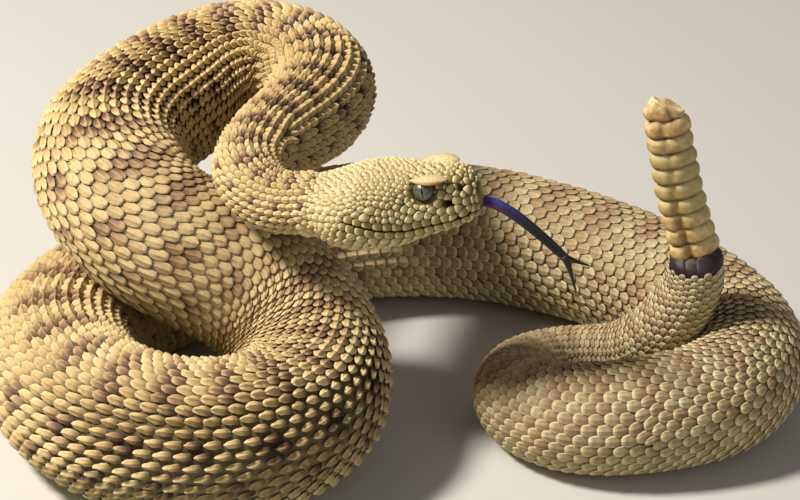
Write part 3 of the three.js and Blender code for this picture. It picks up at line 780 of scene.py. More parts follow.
def head_plates(head, form, finish):
    """Plates that tile the head: each fills the room between its neighbours, less a narrow gap."""
    seeds = np.array(head_seeds(head))
    middle = np.abs(seeds[:, 1] - math.pi / 2) < 0.02
    mirrored = seeds[~middle].copy()
    mirrored[:, 1] = math.pi - mirrored[:, 1]
    order = np.argsort(np.r_[np.arange(len(seeds)), np.flatnonzero(~middle) + 0.5])
    seeds = np.vstack([seeds, mirrored])[order]
    wander = np.where(seeds[:, 2] < 0.8, 0.7, 0.25)
    seeds[:, 0] += wander * (chance(np.arange(len(seeds)), 11) - 0.5) * seeds[:, 5]
    seeds[:, 1] += 0.05 * wander * (chance(np.arange(len(seeds)), 14) - 0.5) * seeds[:, 5]
    places = head.point(seeds[:, 0], seeds[:, 1])
    kept = thin_out(places, seeds[:, 2], 0.76)
    seeds, places = seeds[kept], places[kept]
    # Small plates go where room is left between the rows
    turns = np.radians(np.arange(-90, 268, 3.5))
    forward, turn = np.meshgrid(np.arange(-3, 41.2, 0.5), turns, indexing="ij")
    spare = np.zeros((forward.size, seeds.shape[1]))
    spare[:, 0], spare[:, 1], spare[:, 5] = forward.ravel(), turn.ravel(), 1
    spare_places = head.point(spare[:, 0], spare[:, 1])
    spare[:, 2] = np.where(spare_places[:, 2] > 3.5, 0.62, 0.85)
    spare[:, 3], spare[:, 4], spare[:, 6] = 0.16, 0.3, 0.25
    spare = spare[np.abs(spare_places[:, 2] - mouth_height(spare_places[:, 0])) > 0.7]
    spare_places = head.point(spare[:, 0], spare[:, 1])
    seeds, places = np.vstack([seeds, spare]), np.vstack([places, spare_places])
    kept = thin_out(places, seeds[:, 2], 0.8, range(len(kept)))
    seeds, places = seeds[kept], places[kept]
    radius = seeds[:, 2]
    normals = np.array([form.find_nearest(Vector(place))[1] for place in places])
    rear = np.array([-1.0, 0, 0]) - normals * (-normals[:, :1])
    rear = unit(rear + 1e-6)
    side = np.cross(normals, rear)

    bearings = turns_round(HEAD_SPOKES)
    built = np.flatnonzero(seeds[:, 5] > 0.5)
    spokes = np.empty((len(built), HEAD_SPOKES))
    for slot, index in enumerate(built):
        offset = places - places[index]
        gap = np.linalg.norm(offset, axis=1)
        near = np.argsort(gap)[1:19]
        flat = np.stack([offset[near] @ rear[index], offset[near] @ side[index]], axis=1)
        span = np.linalg.norm(flat, axis=1) + 1e-6
        edge = (gap[near] ** 2 + radius[index] ** 2 - radius[near] ** 2) / (2 * gap[near])
        edge = np.maximum(edge - PLATE_GAP, 0.15)
        facing = np.cos(bearings[:, None] - np.arctan2(flat[:, 1], flat[:, 0])[None, :])
        strength = (np.maximum(facing, 0) / edge[None, :]) ** PLATE_SHARPNESS
        strength = strength * (span > 0.2 * gap[near])[None, :]
        reach = (strength.sum(axis=1) + 1e-9) ** (-1 / PLATE_SHARPNESS)
        spokes[slot] = np.minimum(reach, 1.9 * radius[index])
    rings = np.array([0.0] + [ring for ring in HEAD_RINGS for _ in range(HEAD_SPOKES)])
    angles = np.r_[0, np.tile(bearings, len(HEAD_RINGS))]
    stretch = np.concatenate([np.zeros((len(built), 1)), np.tile(spokes, (1, len(HEAD_RINGS)))], axis=1)
    x = rings * np.cos(angles) * stretch
    y = rings * np.sin(angles) * stretch
    tilt = 1.35 * seeds[built, 4][:, None]
    x = x * np.where(x > 0, 1 + 0.6 * tilt, 1)
    y = y * (1 - 0.25 * tilt * np.clip(x / spokes.mean(axis=1)[:, None], 0, 1))
    middles = places[built]
    flat = middles[:, None] + x[..., None] * rear[built][:, None] + y[..., None] * side[built][:, None]
    mouth = mouth_height(flat[..., 0])
    above = np.where(middles[:, 2] > mouth_height(middles[:, 0]), 1, -1)[:, None]
    clear = MOUTH_GAP - above * (flat[..., 2] - mouth)
    in_mouth = (middles[:, :1] > MOUTH_CORNER) & (np.abs(middles[:, 2:3] - mouth) < 3)
    flat[..., 2] += np.where(in_mouth, above * np.maximum(clear, 0), 0)
    dip = np.zeros(flat.shape[:2])
    for forward, height, half_length, half_height, rim_dip in OPENINGS:
        right = float(head.turn_at(forward, height))
        for turn in (right, math.pi - right):
            hole = head.point(forward, turn)
            offset = flat - hole
            away = np.linalg.norm(offset / [half_length, half_length, half_height], axis=-1, keepdims=True)
            flat = hole + offset * np.maximum(1, 1 / np.maximum(away, 0.05))
            beyond = (away[..., 0] - 1) * half_height
            dip = np.maximum(dip, rim_dip * (1 - smoothstep(beyond, 0, RIM_REACH)))
    reach = spokes.mean(axis=1)[:, None]
    keel_height = 1.3 * seeds[built, 3][:, None]
    keel = np.exp(-((y / (0.2 * reach)) ** 2)) * (1 - rings**3)
    dome = 0.16 * np.minimum(reach, 1.2) * (1 - rings**2.4)
    height = dome + keel_height * keel + tilt * np.clip(x / reach, -1, 0.9) - PLATE_SEAT - dip
    base, outward = [], []
    for point in flat.reshape(-1, 3):
        near_place, near_normal = form.find_nearest(Vector(point))[:2]
        base.append(near_place)
        outward.append(near_normal)
    base = np.array(base).reshape(flat.shape)
    outward = np.array(outward).reshape(flat.shape)
    top = base + outward * height[..., None]
    last_ring = 1 + HEAD_SPOKES * (len(HEAD_RINGS) - 1)
    rim = list(range(last_ring, last_ring + HEAD_SPOKES))
    low = (base - outward * (PLATE_DEPTH + dip)[..., None])[:, rim]
    faces = [(0, 1 + k, 1 + (k + 1) % HEAD_SPOKES) for k in range(HEAD_SPOKES)]
    for ring in range(len(HEAD_RINGS) - 1):
        start = 1 + ring * HEAD_SPOKES
        for k in range(HEAD_SPOKES):
            after = (k + 1) % HEAD_SPOKES
            faces.append((start + k, start + HEAD_SPOKES + k, start + HEAD_SPOKES + after, start + after))
    faces = plate_faces(faces, rim, top.shape[1])
    number = np.arange(len(built))

    def to_all(values):
        values = np.broadcast_to(values, (len(built), top.shape[1]))
        return np.concatenate([values, values[:, rim]], axis=1)

    forward = middles[:, 0]
    # A faint dark band runs from the eye to the jaw's corner
    off_band = np.abs(middles[:, 2] - EYE_PLACE[2] + BAND_FALL * (EYE_PLACE[0] - forward))
    cheek = 0.3 * (1 - smoothstep(off_band, 0.8, 2.6)) * smoothstep(forward, 2, 8)
    cheek = cheek + 0.2 * smoothstep(forward, 29, 37)
    marks = {
        "tone": to_all(chance(number, 12)[:, None]),
        "edge": to_all(smoothstep(rings, 0.6, 1.0)[None, :]),
        "run": to_all(0.5 + 0.5 * x / reach),
        "keel": to_all(keel * np.minimum(keel_height / 0.16, 1)),
        "tint": to_all((seeds[built, 6] + cheek)[:, None]),
        "wall": np.r_[np.zeros(top.shape[1]), np.ones(len(rim))][None, :],
        "low": to_all(smoothstep(-middles[:, 2:3], 2, 8)),
    }
    turn = np.mod(seeds[built, 1] + math.pi, 2 * math.pi) / (2 * math.pi)
    roots = np.stack([np.interp(forward, [-5, 43], [0.02, 0.98]), turn * 0.96 + 0.02], axis=-1)
    spread = np.stack([to_all(x / reach), to_all(y / reach)], axis=-1) * PATCH / 2
    patches = roots[:, None] + spread
    snout = snout_plate(head, rings, angles, rim)
    points = head.world(np.concatenate([np.concatenate([top, low], axis=1), snout[None]]))
    # The snout's shield takes its marks from the first plate
    marks = {title: np.broadcast_to(values, patches.shape[:2]) for title, values in marks.items()}
    marks = {title: np.concatenate([values, values[:1]]) for title, values in marks.items()}
    patches = np.concatenate([patches, patches[:1]])
    return build_mesh("head_plates", points, faces, marks, patches, finish)


def snout_plate(head, rings, angles, rim):
    """The shield that closes the snout's tip above the mouth."""
    line = float(mouth_height(SNOUT_TIP)) + MOUTH_GAP
    outline = head.point(SNOUT_TIP, turns_round(90))[:, 1:]
    middle = np.array([0, (line + outline[:, 1].max()) / 2])
    offset = outline - middle
    bearing = np.arctan2(offset[:, 1], offset[:, 0])
    reach = np.interp(angles, bearing, np.linalg.norm(offset, axis=1), period=2 * math.pi)
    reach = reach * SNOUT_OVERLAP
    reach = np.minimum(reach, (middle[1] - line) / np.maximum(-np.sin(angles), 0.01))
    forward = SNOUT_TIP + 0.1 + SNOUT_BULGE * (1 - rings**2)
    sideways = rings * reach * np.cos(angles)
    top = np.stack([forward, sideways, middle[1] + rings * reach * np.sin(angles)], axis=-1)
    return np.concatenate([top, top[rim] - [0.6, 0, 0]])


def head_form(head):
    """The smooth outer form as a search tree, in the head's frame."""
    tip = SNOUT_START + FORM_REACH * np.sin(np.linspace(0.03, 1, 24) * math.pi / 2)
    forward = np.r_[np.linspace(-9, SNOUT_START, 120), tip]
    turns = turns_round(128)
    points = head.point(forward[::-1, None], turns[None, :]).reshape(-1, 3)
    return BVHTree.FromPolygons(points.tolist(), sheet_faces(len(forward), len(turns), wrap=True))


def sink(local, place, size, depth):
    """How deep a hollow goes at each point: round a place, with half sizes, falling off smoothly."""
    away = np.linalg.norm((local - place) / np.array(size), axis=-1)
    return depth * (1 - smoothstep(away, 0.35, 1.0))


def skin(body, head, finish):
    """One skin from the snout to the tail's ring, under the scales."""
    turns = turns_round(SKIN_CORNERS)
    tip = SNOUT_START + SKIN_REACH * np.sin(np.linspace(1, 0.05, 22) * math.pi / 2)
    forward = np.r_[tip, np.linspace(SNOUT_START, -2, 110)]
    local = head.point(forward[:, None], turns[None, :], inset=SKIN_INSET)
    inward = -local * [0, 1, 1]
    inward[..., 2] += HEAD_MIDDLE
    inward = unit(inward + 1e-9)
    mouth = np.abs(local[..., 2] - mouth_height(local[..., 0]))
    in_mouth = (local[..., 0] > 10) & (np.abs(local[..., 1]) > 1)
    depth = np.where(in_mouth, 0.55 * (1 - smoothstep(mouth, 0.2, 0.7)), 0)
    shade = np.where(in_mouth, 1 - smoothstep(mouth, 0.3, 0.8), 0)
    for side in (-1, 1):
        for place, size, deep in HOLLOWS:
            place = np.array(place) * [1, side, 1]
            depth = np.maximum(depth, sink(local, place, size, deep))
            shade = np.maximum(shade, sink(local, place, np.array(size) * 1.1, 1.0))
    head_points = head.world(local + inward * depth[..., None])
    end = body.length - TAIL_RING
    distance = np.r_[np.arange(0.4, end, 1.5), np.linspace(end, body.length + 1.2, 6)]
    size = np.interp(distance, body.distance, body.size)
    rise = -SCALE_DEPTH * size - 1.2 * smoothstep(distance, body.length - 1, body.length + 1.2)
    body_points = clasp(body, body.surface(distance[:, None], turns[None, :], rise[:, None]))
    points = np.concatenate([head_points, body_points])
    rings = len(points)
    nose = points[0].mean(axis=0) + head.axes[:, 0] * 0.1
    tail = points[-1].mean(axis=0)
    points = np.concatenate([points.reshape(-1, 3), [nose, tail]])[None]
    blotch = body.markings(distance[:, None], spread_turn(turns)[None, :])
    blotch = np.concatenate([np.zeros(head_points.shape[:2]), blotch])
    ring_shade = np.broadcast_to(smoothstep(distance, end - 0.6, end + 0.2)[:, None], body_points.shape[:2])
    shade = np.concatenate([shade, ring_shade])
    low = np.abs(np.degrees(spread_turn(turns)) - 90)
    low = np.broadcast_to(smoothstep(low, 60, 132), (rings, SKIN_CORNERS))
    in_head = np.repeat(np.r_[np.ones(len(head_points)), np.zeros(len(body_points))], SKIN_CORNERS)
    marks = {
        "blotch": np.r_[blotch.ravel(), 0, 0][None],
        "shade": np.r_[shade.ravel(), 0, 0][None],
        "low": np.r_[low.ravel(), 0, 0][None],
        "in_head": np.r_[in_head, 1, 0][None],
    }
    run = np.r_[-forward, distance + 2] / UNWRAP_LENGTH + 0.06
    patches = np.stack(np.broadcast_arrays(run[:, None], (turns / (2 * math.pi))[None, :]), axis=-1)
    patches = patches.reshape(-1, 2)
    patches = np.vstack([patches, patches[:1], patches[-1:]])[None]
    piece = build_mesh("skin", points, fan_faces(rings, SKIN_CORNERS), marks, patches, finish)
    flesh = [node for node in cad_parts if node.startswith(("neck", "body_", "head", "lower_jaw"))]
    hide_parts(*flesh, "tail_bend", "tail")
    return piece


def spread_turn(turns):
    """Turns from the right side of the belly round over the back, so that the back is at a quarter turn."""
    return np.mod(turns + math.pi / 2, 2 * math.pi) - math.pi / 2


def brows(head, finish):
    """The two broad plates that overhang the eyes."""
    rows, columns = 30, 32
    corners = np.array([*BROW_SECTION, *BROW_SECTION[:3]])
    at = np.arange(columns) * len(BROW_SECTION) / columns
    f = (at % 1)[:, None]
    k = at.astype(int)
    section = (1 - f) ** 2 / 2 * corners[k] + (0.5 + f - f * f) * corners[k + 1]
    section = section + f * f / 2 * corners[k + 2]
    anchor = np.array(BROW_ANCHOR)
    share = (1 - np.cos(np.linspace(0.0, 1.0, rows) * math.pi)) / 2
    fullness = np.sin(math.pi * share**1.3) ** 0.6 * 0.96 + 0.04
    pieces = []
    for name, side in (("brow_left", 1), ("brow_right", -1)):
        flat = anchor + (section - anchor)[None] * fullness[:, None, None]
        flat[..., 1] -= ((share - 0.5) * (BROW_END - BROW_START) * BROW_FALL)[:, None]
        flat[..., 0] += (0.5 - np.abs(share - 0.45))[:, None] * 0.3
        forward = np.broadcast_to((BROW_START + (BROW_END - BROW_START) * share)[:, None], flat.shape[:2])
        local = np.stack([forward, side * flat[..., 0], flat[..., 1]], axis=-1).reshape(-1, 3)
        faces = tube_faces(rows, columns)
        if side > 0:
            faces = [face[::-1] for face in faces]
        points = head.world(local)[None]
        out = (section[:, 0] - section[:, 0].min()) / np.ptp(section[:, 0])
        up = (section[:, 1] - section[:, 1].min()) / np.ptp(section[:, 1])
        marks = {
            "out": np.tile(out, rows)[None],
            "up": np.tile(up, rows)[None],
            "share": np.repeat(share, columns)[None],
        }
        patch = np.stack([np.repeat(share, columns), np.tile(at / len(BROW_SECTION), rows)], axis=-1)[None]
        pieces.append(build_mesh(name, points, faces, marks, patch, finish))
    return pieces


def eyes(head, finish):
    """Eyeballs that carry their own map of the iris: forward and upward places on the ball."""
    rows, columns = 48, 64
    pieces = []
    for name, side in (("eye_ball_left", 1), ("eye_ball_right", -1)):
        gaze = unit(np.array([0.16, side, 0.1]))
        upward = unit(np.array([0.0, 0.0, 1.0]) - gaze * gaze[2])
        forward = np.cross(upward, gaze) * side
        bearing = np.linspace(0.02, math.pi - 0.02, rows)[:, None]
        turn = turns_round(columns)[None, :]
        depth = (np.cos(bearing) + 0 * turn).ravel()
        level = (np.sin(bearing) * np.cos(turn)).ravel()
        height = (np.sin(bearing) * np.sin(turn)).ravel()
        bulge = 1 + 0.05 * smoothstep(depth, 0.7, 1.0)
        local = depth[:, None] * gaze + level[:, None] * forward + height[:, None] * upward
        local = np.array(EYE_PLACE) * [1, side, 1] + local * (EYE_RADIUS * bulge)[:, None]
        faces = tube_faces(rows, columns)
        if side < 0:
            faces = [face[::-1] for face in faces]
        points = head.world(local)[None]
        marks = {"gaze": depth[None], "level": level[None], "height": height[None]}
        patch = np.stack([0.5 + 0.45 * level, 0.5 + 0.45 * height], axis=-1)[None]
        piece = build_mesh(name, points, faces, marks, patch, finish)
        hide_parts("eye_left" if side > 0 else "eye_right")
        pieces.append(piece)
    return pieces


def bar(rows, samples, columns, flatness, roll):
    """A tapered bar along waypoints, rolled about its run, with how far along and round each corner is."""
    path = spline(rows, samples)
    along = unit(np.gradient(path[:, :3], axis=0))
    level = unit(np.cross(along, [0, 0, 1.0]))
    upright = np.cross(level, along)
    flank = level * math.cos(roll) - upright * math.sin(roll)
    over = np.cross(flank, along)
    turn = turns_round(columns)[None, :, None]
    half = path[:, 3][:, None, None]
    sideways = np.cos(turn) * half * TONGUE_BREADTH * flank[:, None]
    points = path[:, None, :3] + sideways + np.sin(turn) * half * flatness * over[:, None]
    run = np.broadcast_to(np.linspace(0, 1, samples)[:, None], points.shape[:2])
    up = np.broadcast_to(np.sin(turn[..., 0]), points.shape[:2])
    across = np.broadcast_to(np.cos(turn[..., 0]), points.shape[:2])
    return points, run, up, across, over


def tongue(head, finish):
    """The forked tongue: a flat stem and two tines."""
    columns = 20
    pieces = []
    for name, rows, samples, flatness in (
        ("tongue_stem", TONGUE, 48, 0.6),
        ("tongue_tine_left", TONGUE_TINES[0], 20, 0.8),
        ("tongue_tine_right", TONGUE_TINES[1], 20, 0.8),
    ):
        points, run, up, across, over = bar(rows, samples, columns, flatness, TONGUE_ROLL)
        stem = name == "tongue_stem"
        # The stem has a groove along its upper side
        if stem:
            groove = 0.3 * np.exp(-((across / 0.35) ** 2)) * (up > 0)
            points = points - groove[..., None] * over[:, None]
        faces = tube_faces(samples, columns)
        marks = {"run": run.reshape(1, -1) if stem else 1.0, "across": across.reshape(1, -1)}
        patch = np.stack([run, (across + 1) / 2], axis=-1).reshape(1, -1, 2)
        world = head.world(points.reshape(1, -1, 3))
        pieces.append(build_mesh(name, world, faces, marks, patch, finish))
    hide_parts("tongue")
    return pieces


def clasp(body, points):
    """Presses the tail's far end to the rattle's oval foot."""
    spine = body.surface(np.array(body.length), np.array(0.0), -body.half[-1])
    at_end = np.linalg.norm(points - spine, axis=-1) < 3 * body.half[-1]
    pressed = 1 - 0.3 * at_end * smoothstep(points[..., 2], spine[2] - 1.5, spine[2] + 1.5)
    points[..., 1] = spine[1] + (points[..., 1] - spine[1]) * pressed
    return points


def tail_ring(body, finish):
    """The dark collar of scales at the tail's end, which clasps the rattle's first segment."""
    count = RING_SCALES
    turns = turns_round(count) + 0.35
    lengthways = np.linspace(0, 1, 9)
    across = np.linspace(-1, 1, 9)
    outline = np.sqrt(np.maximum(1 - (2 * lengthways - 1) ** 4, 0.06))
    start, stop = body.length - TAIL_RING - RING_BEFORE, body.length + RING_AFTER
    layer = (np.arange(count) % 2)[:, None, None]
    distance = start + 0.5 * layer + (stop - start) * lengthways[None, :, None] + 0 * across
    turn = turns[:, None, None] + across * outline[None, :, None] * (math.pi / count) * 1.3
    swell = 0.4 * (1 - across**2) * np.sin(math.pi * np.clip(lengthways, 0.06, 0.94))[:, None]
    height = swell[None] - 0.5 + 0.26 * layer - 0.6 * smoothstep(distance, body.length, stop)
    top = clasp(body, body.surface(distance, turn, height).reshape(count, -1, 3))
    rows, columns = len(lengthways), len(across)
    faces, rim, rim_row, rim_column = plate_sheet(rows, columns)
    distance, turn, height = (values[:, rim_row, rim_column] for values in (distance, turn, height))
    low = clasp(body, body.surface(distance, turn, height - 0.45))
    run = np.repeat(lengthways, columns)
    marks = {"run": np.r_[run, run[rim]][None]}
    points = np.concatenate([top, low], axis=1)
    patch = np.stack([turns / (2 * math.pi) * 0.9 + 0.05, np.full(count, 0.5)], axis=-1)
    piece = build_mesh("tail_ring_scales", points, faces, marks, patch[:, None], finish)
    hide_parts("tail_ring")
    return piece


def rattle(body, finish):
    """The rattle's segments, each a horn ring with a groove down its broad faces."""
    seat = body.surface(np.array(body.length), np.array(0.0), -body.half[-1]) + [0, 0, RATTLE_SEAT]
    columns = 96
    turn = turns_round(columns)
    profile = np.array(RATTLE_PROFILE)
    share, swell = profile[::-1, 0][:, None], profile[::-1, 1][:, None]
    rows = len(profile)
    pieces = []
    for segment in range(RATTLE_SEGMENTS):
        lean = math.radians(RATTLE_LEAN + segment * RATTLE_BEND)
        up = np.array([-math.sin(lean), 0, math.cos(lean)])
        right = np.array([math.cos(lean), 0, math.sin(lean)])
        last = segment == RATTLE_SEGMENTS - 1
        size = 1 - RATTLE_TAPER * segment - (RATTLE_WEAR if last else 0)
        rough = smoothstep(segment, 6.5, 8.5)
        cut = np.exp(-(((np.cos(turn) - GROOVE_PLACE[segment]) / GROOVE_WIDTH) ** 2))
        groove = 1 - GROOVE_DEPTH[segment] * cut * (0.65 + 0.35 * np.sin(math.pi * np.clip(share, 0, 1)))
        ripple = np.cos(5 * turn + 2.3 * segment) + 0.7 * np.cos(9 * turn + 4.1 * segment + 3 * share)
        lobes = 1 + (0.008 + 0.02 * rough) * ripple + 0.015 * np.cos(3 * turn + segment)
        wide = np.cos(turn) * RATTLE_WIDE * size * swell * lobes
        thick = np.sin(turn) * RATTLE_THICK * size * swell * groove * lobes
        sway = 0.2 * np.cos(turn + segment * 1.7) - 0.35 * cut + 0.1
        sway = sway + rough * 0.25 * np.cos(4 * turn + segment)
        height = share * RATTLE_PITCH + sway * (0.3 + 0.7 * share)
        if last:
            broken = np.interp(np.cos(turn), *np.array(BROKEN_TOP).T)
            height = height + np.clip(share, 0, 1) ** 1.5 * (broken + 0.3 * np.cos(6 * turn))
            wide = wide - 0.8 * np.clip(share, 0, 1)
        if segment == 0:
            height = np.where(share < 0, height + share * FOOT_DEPTH, height)
        flat = wide[..., None] * right + thick[..., None] * np.array([0, 1, 0])
        rings = seat + flat + height[..., None] * up
        ends = [rings[0].mean(axis=0) - 0.5 * up, rings[-1].mean(axis=0)]
        points = np.concatenate([rings.reshape(-1, 3), ends])[None]
        faces = fan_faces(rows, columns)
        marks = {
            "share": np.minimum(np.r_[np.repeat(share[:, 0], columns), 1, 0][None], 0.8 if last else 2),
            "groove": np.r_[np.tile(cut * GROOVE_DEPTH[segment] * 3, rows), 0, 0][None],
            "age": segment / (RATTLE_SEGMENTS - 1),
        }
        level = np.repeat(np.linspace(0.05, 0.95, rows), columns)
        patch = np.stack([np.tile(turn / (2 * math.pi), rows), level], axis=-1)
        patch = np.vstack([patch, [[0.5, 0.05], [0.5, 0.95]]])[None]
        piece = build_mesh(f"rattle_horn_{segment + 1:02d}", points, faces, marks, patch, finish)
        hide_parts(f"rattle_{segment + 1:02d}")
        pieces.append(piece)
        seat = seat + up * RATTLE_PITCH
    return pieces


# Finishes


def connect(tree, socket, value):
    """Links a socket to a wire, or sets its value."""
    if isinstance(value, Wire):
        tree.links.new(value.socket, socket)
    elif hasattr(socket.default_value, "__len__") and len(value) < len(socket.default_value):
        socket.default_value = (*value, 1.0)
    else:
        socket.default_value = value


def add_node(tree, kind, output, settings, sockets):
    """One node: its settings are set first, then its sockets, and one output comes back as a wire."""
    node = tree.nodes.new(kind)
    for title, value in settings.items():
        setattr(node, title, value)
    for key, value in sockets.items():
        connect(tree, node.inputs[key], value)
    return Wire(tree, node.outputs[output])


class Wire:
    """A shader socket on which Python arithmetic adds Math nodes."""

    def __init__(self, tree, socket):
        self.tree = tree
        self.socket = socket

    def math(self, operation, *values):
        return add_node(self.tree, "ShaderNodeMath", 0, {"operation": operation}, dict(enumerate(values)))

    def __add__(self, other):
        return self.math("ADD", self, other)

    __radd__ = __add__

    def __sub__(self, other):
        return self.math("SUBTRACT", self, other)

    def __rsub__(self, other):
        return self.math("SUBTRACT", other, self)

    def __mul__(self, other):
        return self.math("MULTIPLY", self, other)

    __rmul__ = __mul__

    def __truediv__(self, other):
        return self.math("DIVIDE", self, other)

    def __pow__(self, other):
        return self.math("POWER", self, other)

    def __abs__(self):
        return self.math("ABSOLUTE", self)

    def most(self, other):
        """The greater of the two."""
        return self.math("MAXIMUM", self, other)

    def between(self, low, high):
        """0 below low, 1 above high and smooth from one to the other; it falls where low is above high."""
        sockets = {"Value": self, "From Min": low, "From Max": high, "To Min": 0, "To Max": 1}
        if low > high:
            sockets = {"Value": self, "From Min": high, "From Max": low, "To Min": 1, "To Max": 0}
        settings = {"interpolation_type": "SMOOTHSTEP"}
        return add_node(self.tree, "ShaderNodeMapRange", "Result", settings, sockets)


class Finish:
    """A material around one Principled shader."""

    def __init__(self, name, **constants):
        self.material = bpy.data.materials.new(name)
        self.material.use_nodes = True
        self.tree = self.material.node_tree
        self.shader = self.tree.nodes["Principled BSDF"]
        for title, value in constants.items():
            connect(self.tree, self.shader.inputs[title.replace("_", " ")], value)

    def node(self, kind, output, settings, **sockets):
        return add_node(self.tree, kind, output, settings, sockets)

    def marks(self, names):
        """Values that the mesh carries at its corners, one for each name."""
        return [self.node("ShaderNodeAttribute", "Fac", {"attribute_name": name}) for name in names.split()]

    def noise(self, size, detail=3.0, roughness=0.6):
        """Cloudy noise whose features are about size millimetres across."""
        sockets = {"Vector": self.node("ShaderNodeTexCoord", "Object", {}), "Scale": 1 / (size * MM)}
        return self.node("ShaderNodeTexNoise", "Fac", {}, Detail=detail, Roughness=roughness, **sockets)

    def mix(self, share, first, second):
        """One colour turning into another as the share goes from 0 to 1."""
        settings = {"data_type": "RGBA", "clamp_factor": True}
        return add_node(self.tree, "ShaderNodeMix", 2, settings, {0: share, 6: first, 7: second})

    def layers(self, base, *coats):
        """Colours laid over a base one after another, each by its share."""
        for share, color in coats:
            base = self.mix(share, base, color)
        return base

    def color(self, value):
        connect(self.tree, self.shader.inputs["Base Color"], value)

    def roughness(self, value):
        connect(self.tree, self.shader.inputs["Roughness"], value)

    def bump(self, height, distance):
        """Bump from a height of 0 to 1 that stands for a distance in millimetres."""
        normal = self.node("ShaderNodeBump", "Normal", {}, Height=height, Distance=distance * MM)
        connect(self.tree, self.shader.inputs["Normal"], normal)


def srgb(red, green, blue):
    """A colour written as on a screen, 0 to 255, turned into the values that shaders use."""
    shares = (red / 255, green / 255, blue / 255)
    return tuple(s / 12.92 if s <= 0.04045 else ((s + 0.055) / 1.055) ** 2.4 for s in shares)


def scale_finish(colors):
    finish = Finish("keeled_scale", Specular_IOR_Level=0.3)
    blotch, tone, run, side, low = finish.marks("blotch tone run side low")
    keel, golden, pale, wall = finish.marks("keel golden pale wall")
    cloud, patchy = finish.noise(14), finish.noise(4, 2)
    mottle, grain = finish.noise(1.6, 2), finish.noise(0.45, 3)
    in_blotch = (blotch + (cloud - 0.5) * 0.7 + (patchy - 0.5) * 0.6).between(0.1, 0.9)
    rim = side.between(0.6, 0.95).most(run.between(0.74, 0.96))
    ridge = keel.most(run.between(0.6, 0.9))
    ground = finish.layers(
        colors.cream,
        (cloud.between(0.38, 0.62) * 0.8, colors.tan),
        (tone * 0.4, colors.tan),
        (tone.between(0.65, 0.95) * 0.5, colors.mauve),
        (golden * 0.85, colors.gold),
        (mottle.between(0.5, 0.68) * 0.5, colors.mauve),
        (patchy.between(0.5, 0.7) * 0.4, colors.gold),
        (pale * 0.8, colors.cream),
    )
    # Painted highlight: a paler copy of the ground for rims and keels; on the rims it is partly the scales'
    # own pale edge
    highlight_and_pale_rim = finish.mix(0.6, ground, colors.cream)
    rear = golden.between(0.25, 0.0)
    middle = finish.layers(
        ground,
        # Olive towards the lower flanks: partly their own tint, partly painted shade on the side away from
        # the light
        (0.14 + low * 0.5, colors.olive),
        (rear * (0.25 + mottle * 0.5), colors.skin),
        (in_blotch * (0.5 + tone * 0.25 + golden * 0.25), colors.blotch),
    )
    edge = finish.mix(in_blotch * (0.4 + golden * 0.15), highlight_and_pale_rim, colors.blotch)
    # Painted shade: darker at each scale's root, where it lies under the scale ahead, and beside the keel
    # in blotches, where the blotch's own dark brown joins it
    shadow = finish.mix(in_blotch, colors.gap, colors.blotch_shade)
    root = run.between(0.58, 0.16) * (0.4 + in_blotch * 0.2 + golden * 0.4 + pale * 0.5)
    deep = run.between(0.95, 0.45) * (1 - ridge) * 0.9
    base = finish.layers(
        middle,
        # Rims: partly their own pale edge, partly painted highlight; keels: painted highlight
        (rim * 0.8, edge),
        (ridge * (0.3 + golden * 0.4), edge),
        (low.between(0.85, 1.35) * 0.8, colors.belly),
        (root * (1 - keel * 0.6), shadow),
        (in_blotch * (golden + 0.25) * deep, shadow),
        # Painted shade on the walls under the free edges
        (wall, shadow),
        (grain.between(0.5, 0.8) * 0.22, shadow),
    )
    finish.color(base)
    finish.roughness(0.45 + grain * 0.3)
    finish.bump(grain + finish.noise(0.15, 1) * 0.5, 0.09)
    return finish.material


def head_finish(colors):
    finish = Finish("head_plate", Specular_IOR_Level=0.35)
    tone, edge, keel, run, tint, wall, low = finish.marks("tone edge keel run tint wall low")
    cloud, mottle, grain = finish.noise(4), finish.noise(1.2, 2), finish.noise(0.4, 3)
    # Olive at the plates' fore parts: partly the lips' and snout's own tint, partly painted shade where
    # each plate tucks under its neighbour
    shade = tint * (0.55 + cloud * 1.3) + tone * 0.3
    base = finish.layers(
        colors.head,
        (tone * 0.5, colors.tan),
        (mottle.between(0.5, 0.65) * 0.3, colors.mauve),
        (shade * run.between(0.95, 0.35), colors.olive),
        (low * 0.3, colors.belly),
        # Painted highlight on keels and rear tips; painted shade on the front rims and the walls
        (keel * 0.5 + run.between(0.6, 0.95) * 0.5, colors.cream),
        (edge * run.between(0.55, 0.1), colors.head_gap_shade),
        (wall, colors.head_gap_shade),
        (grain.between(0.5, 0.8) * 0.25, colors.head_gap_shade),
    )
    finish.color(base)
    finish.roughness(0.4 + grain * 0.3)
    finish.bump(grain, 0.08)
    return finish.material


def skin_finish(colors):
    finish = Finish("skin_between_scales", Specular_IOR_Level=0.2)
    blotch, shade, low, in_head = finish.marks("blotch shade low in_head")
    base = finish.layers(
        colors.skin,
        # The skin shows only in the gaps: its dark in blotches is partly its own colour and partly painted
        # shade
        (blotch, colors.blotch_shade),
        (low * 0.6, colors.belly),
        # Painted shade on the head's skin between the plates
        (in_head, colors.head_gap_shade),
        (shade, colors.hollow),
        (finish.noise(1.5) * 0.5, colors.gap),
    )
    finish.color(base)
    finish.roughness(0.7 + finish.noise(1.0) * 0.2)
    finish.bump(finish.noise(0.5), 0.1)
    return finish.material


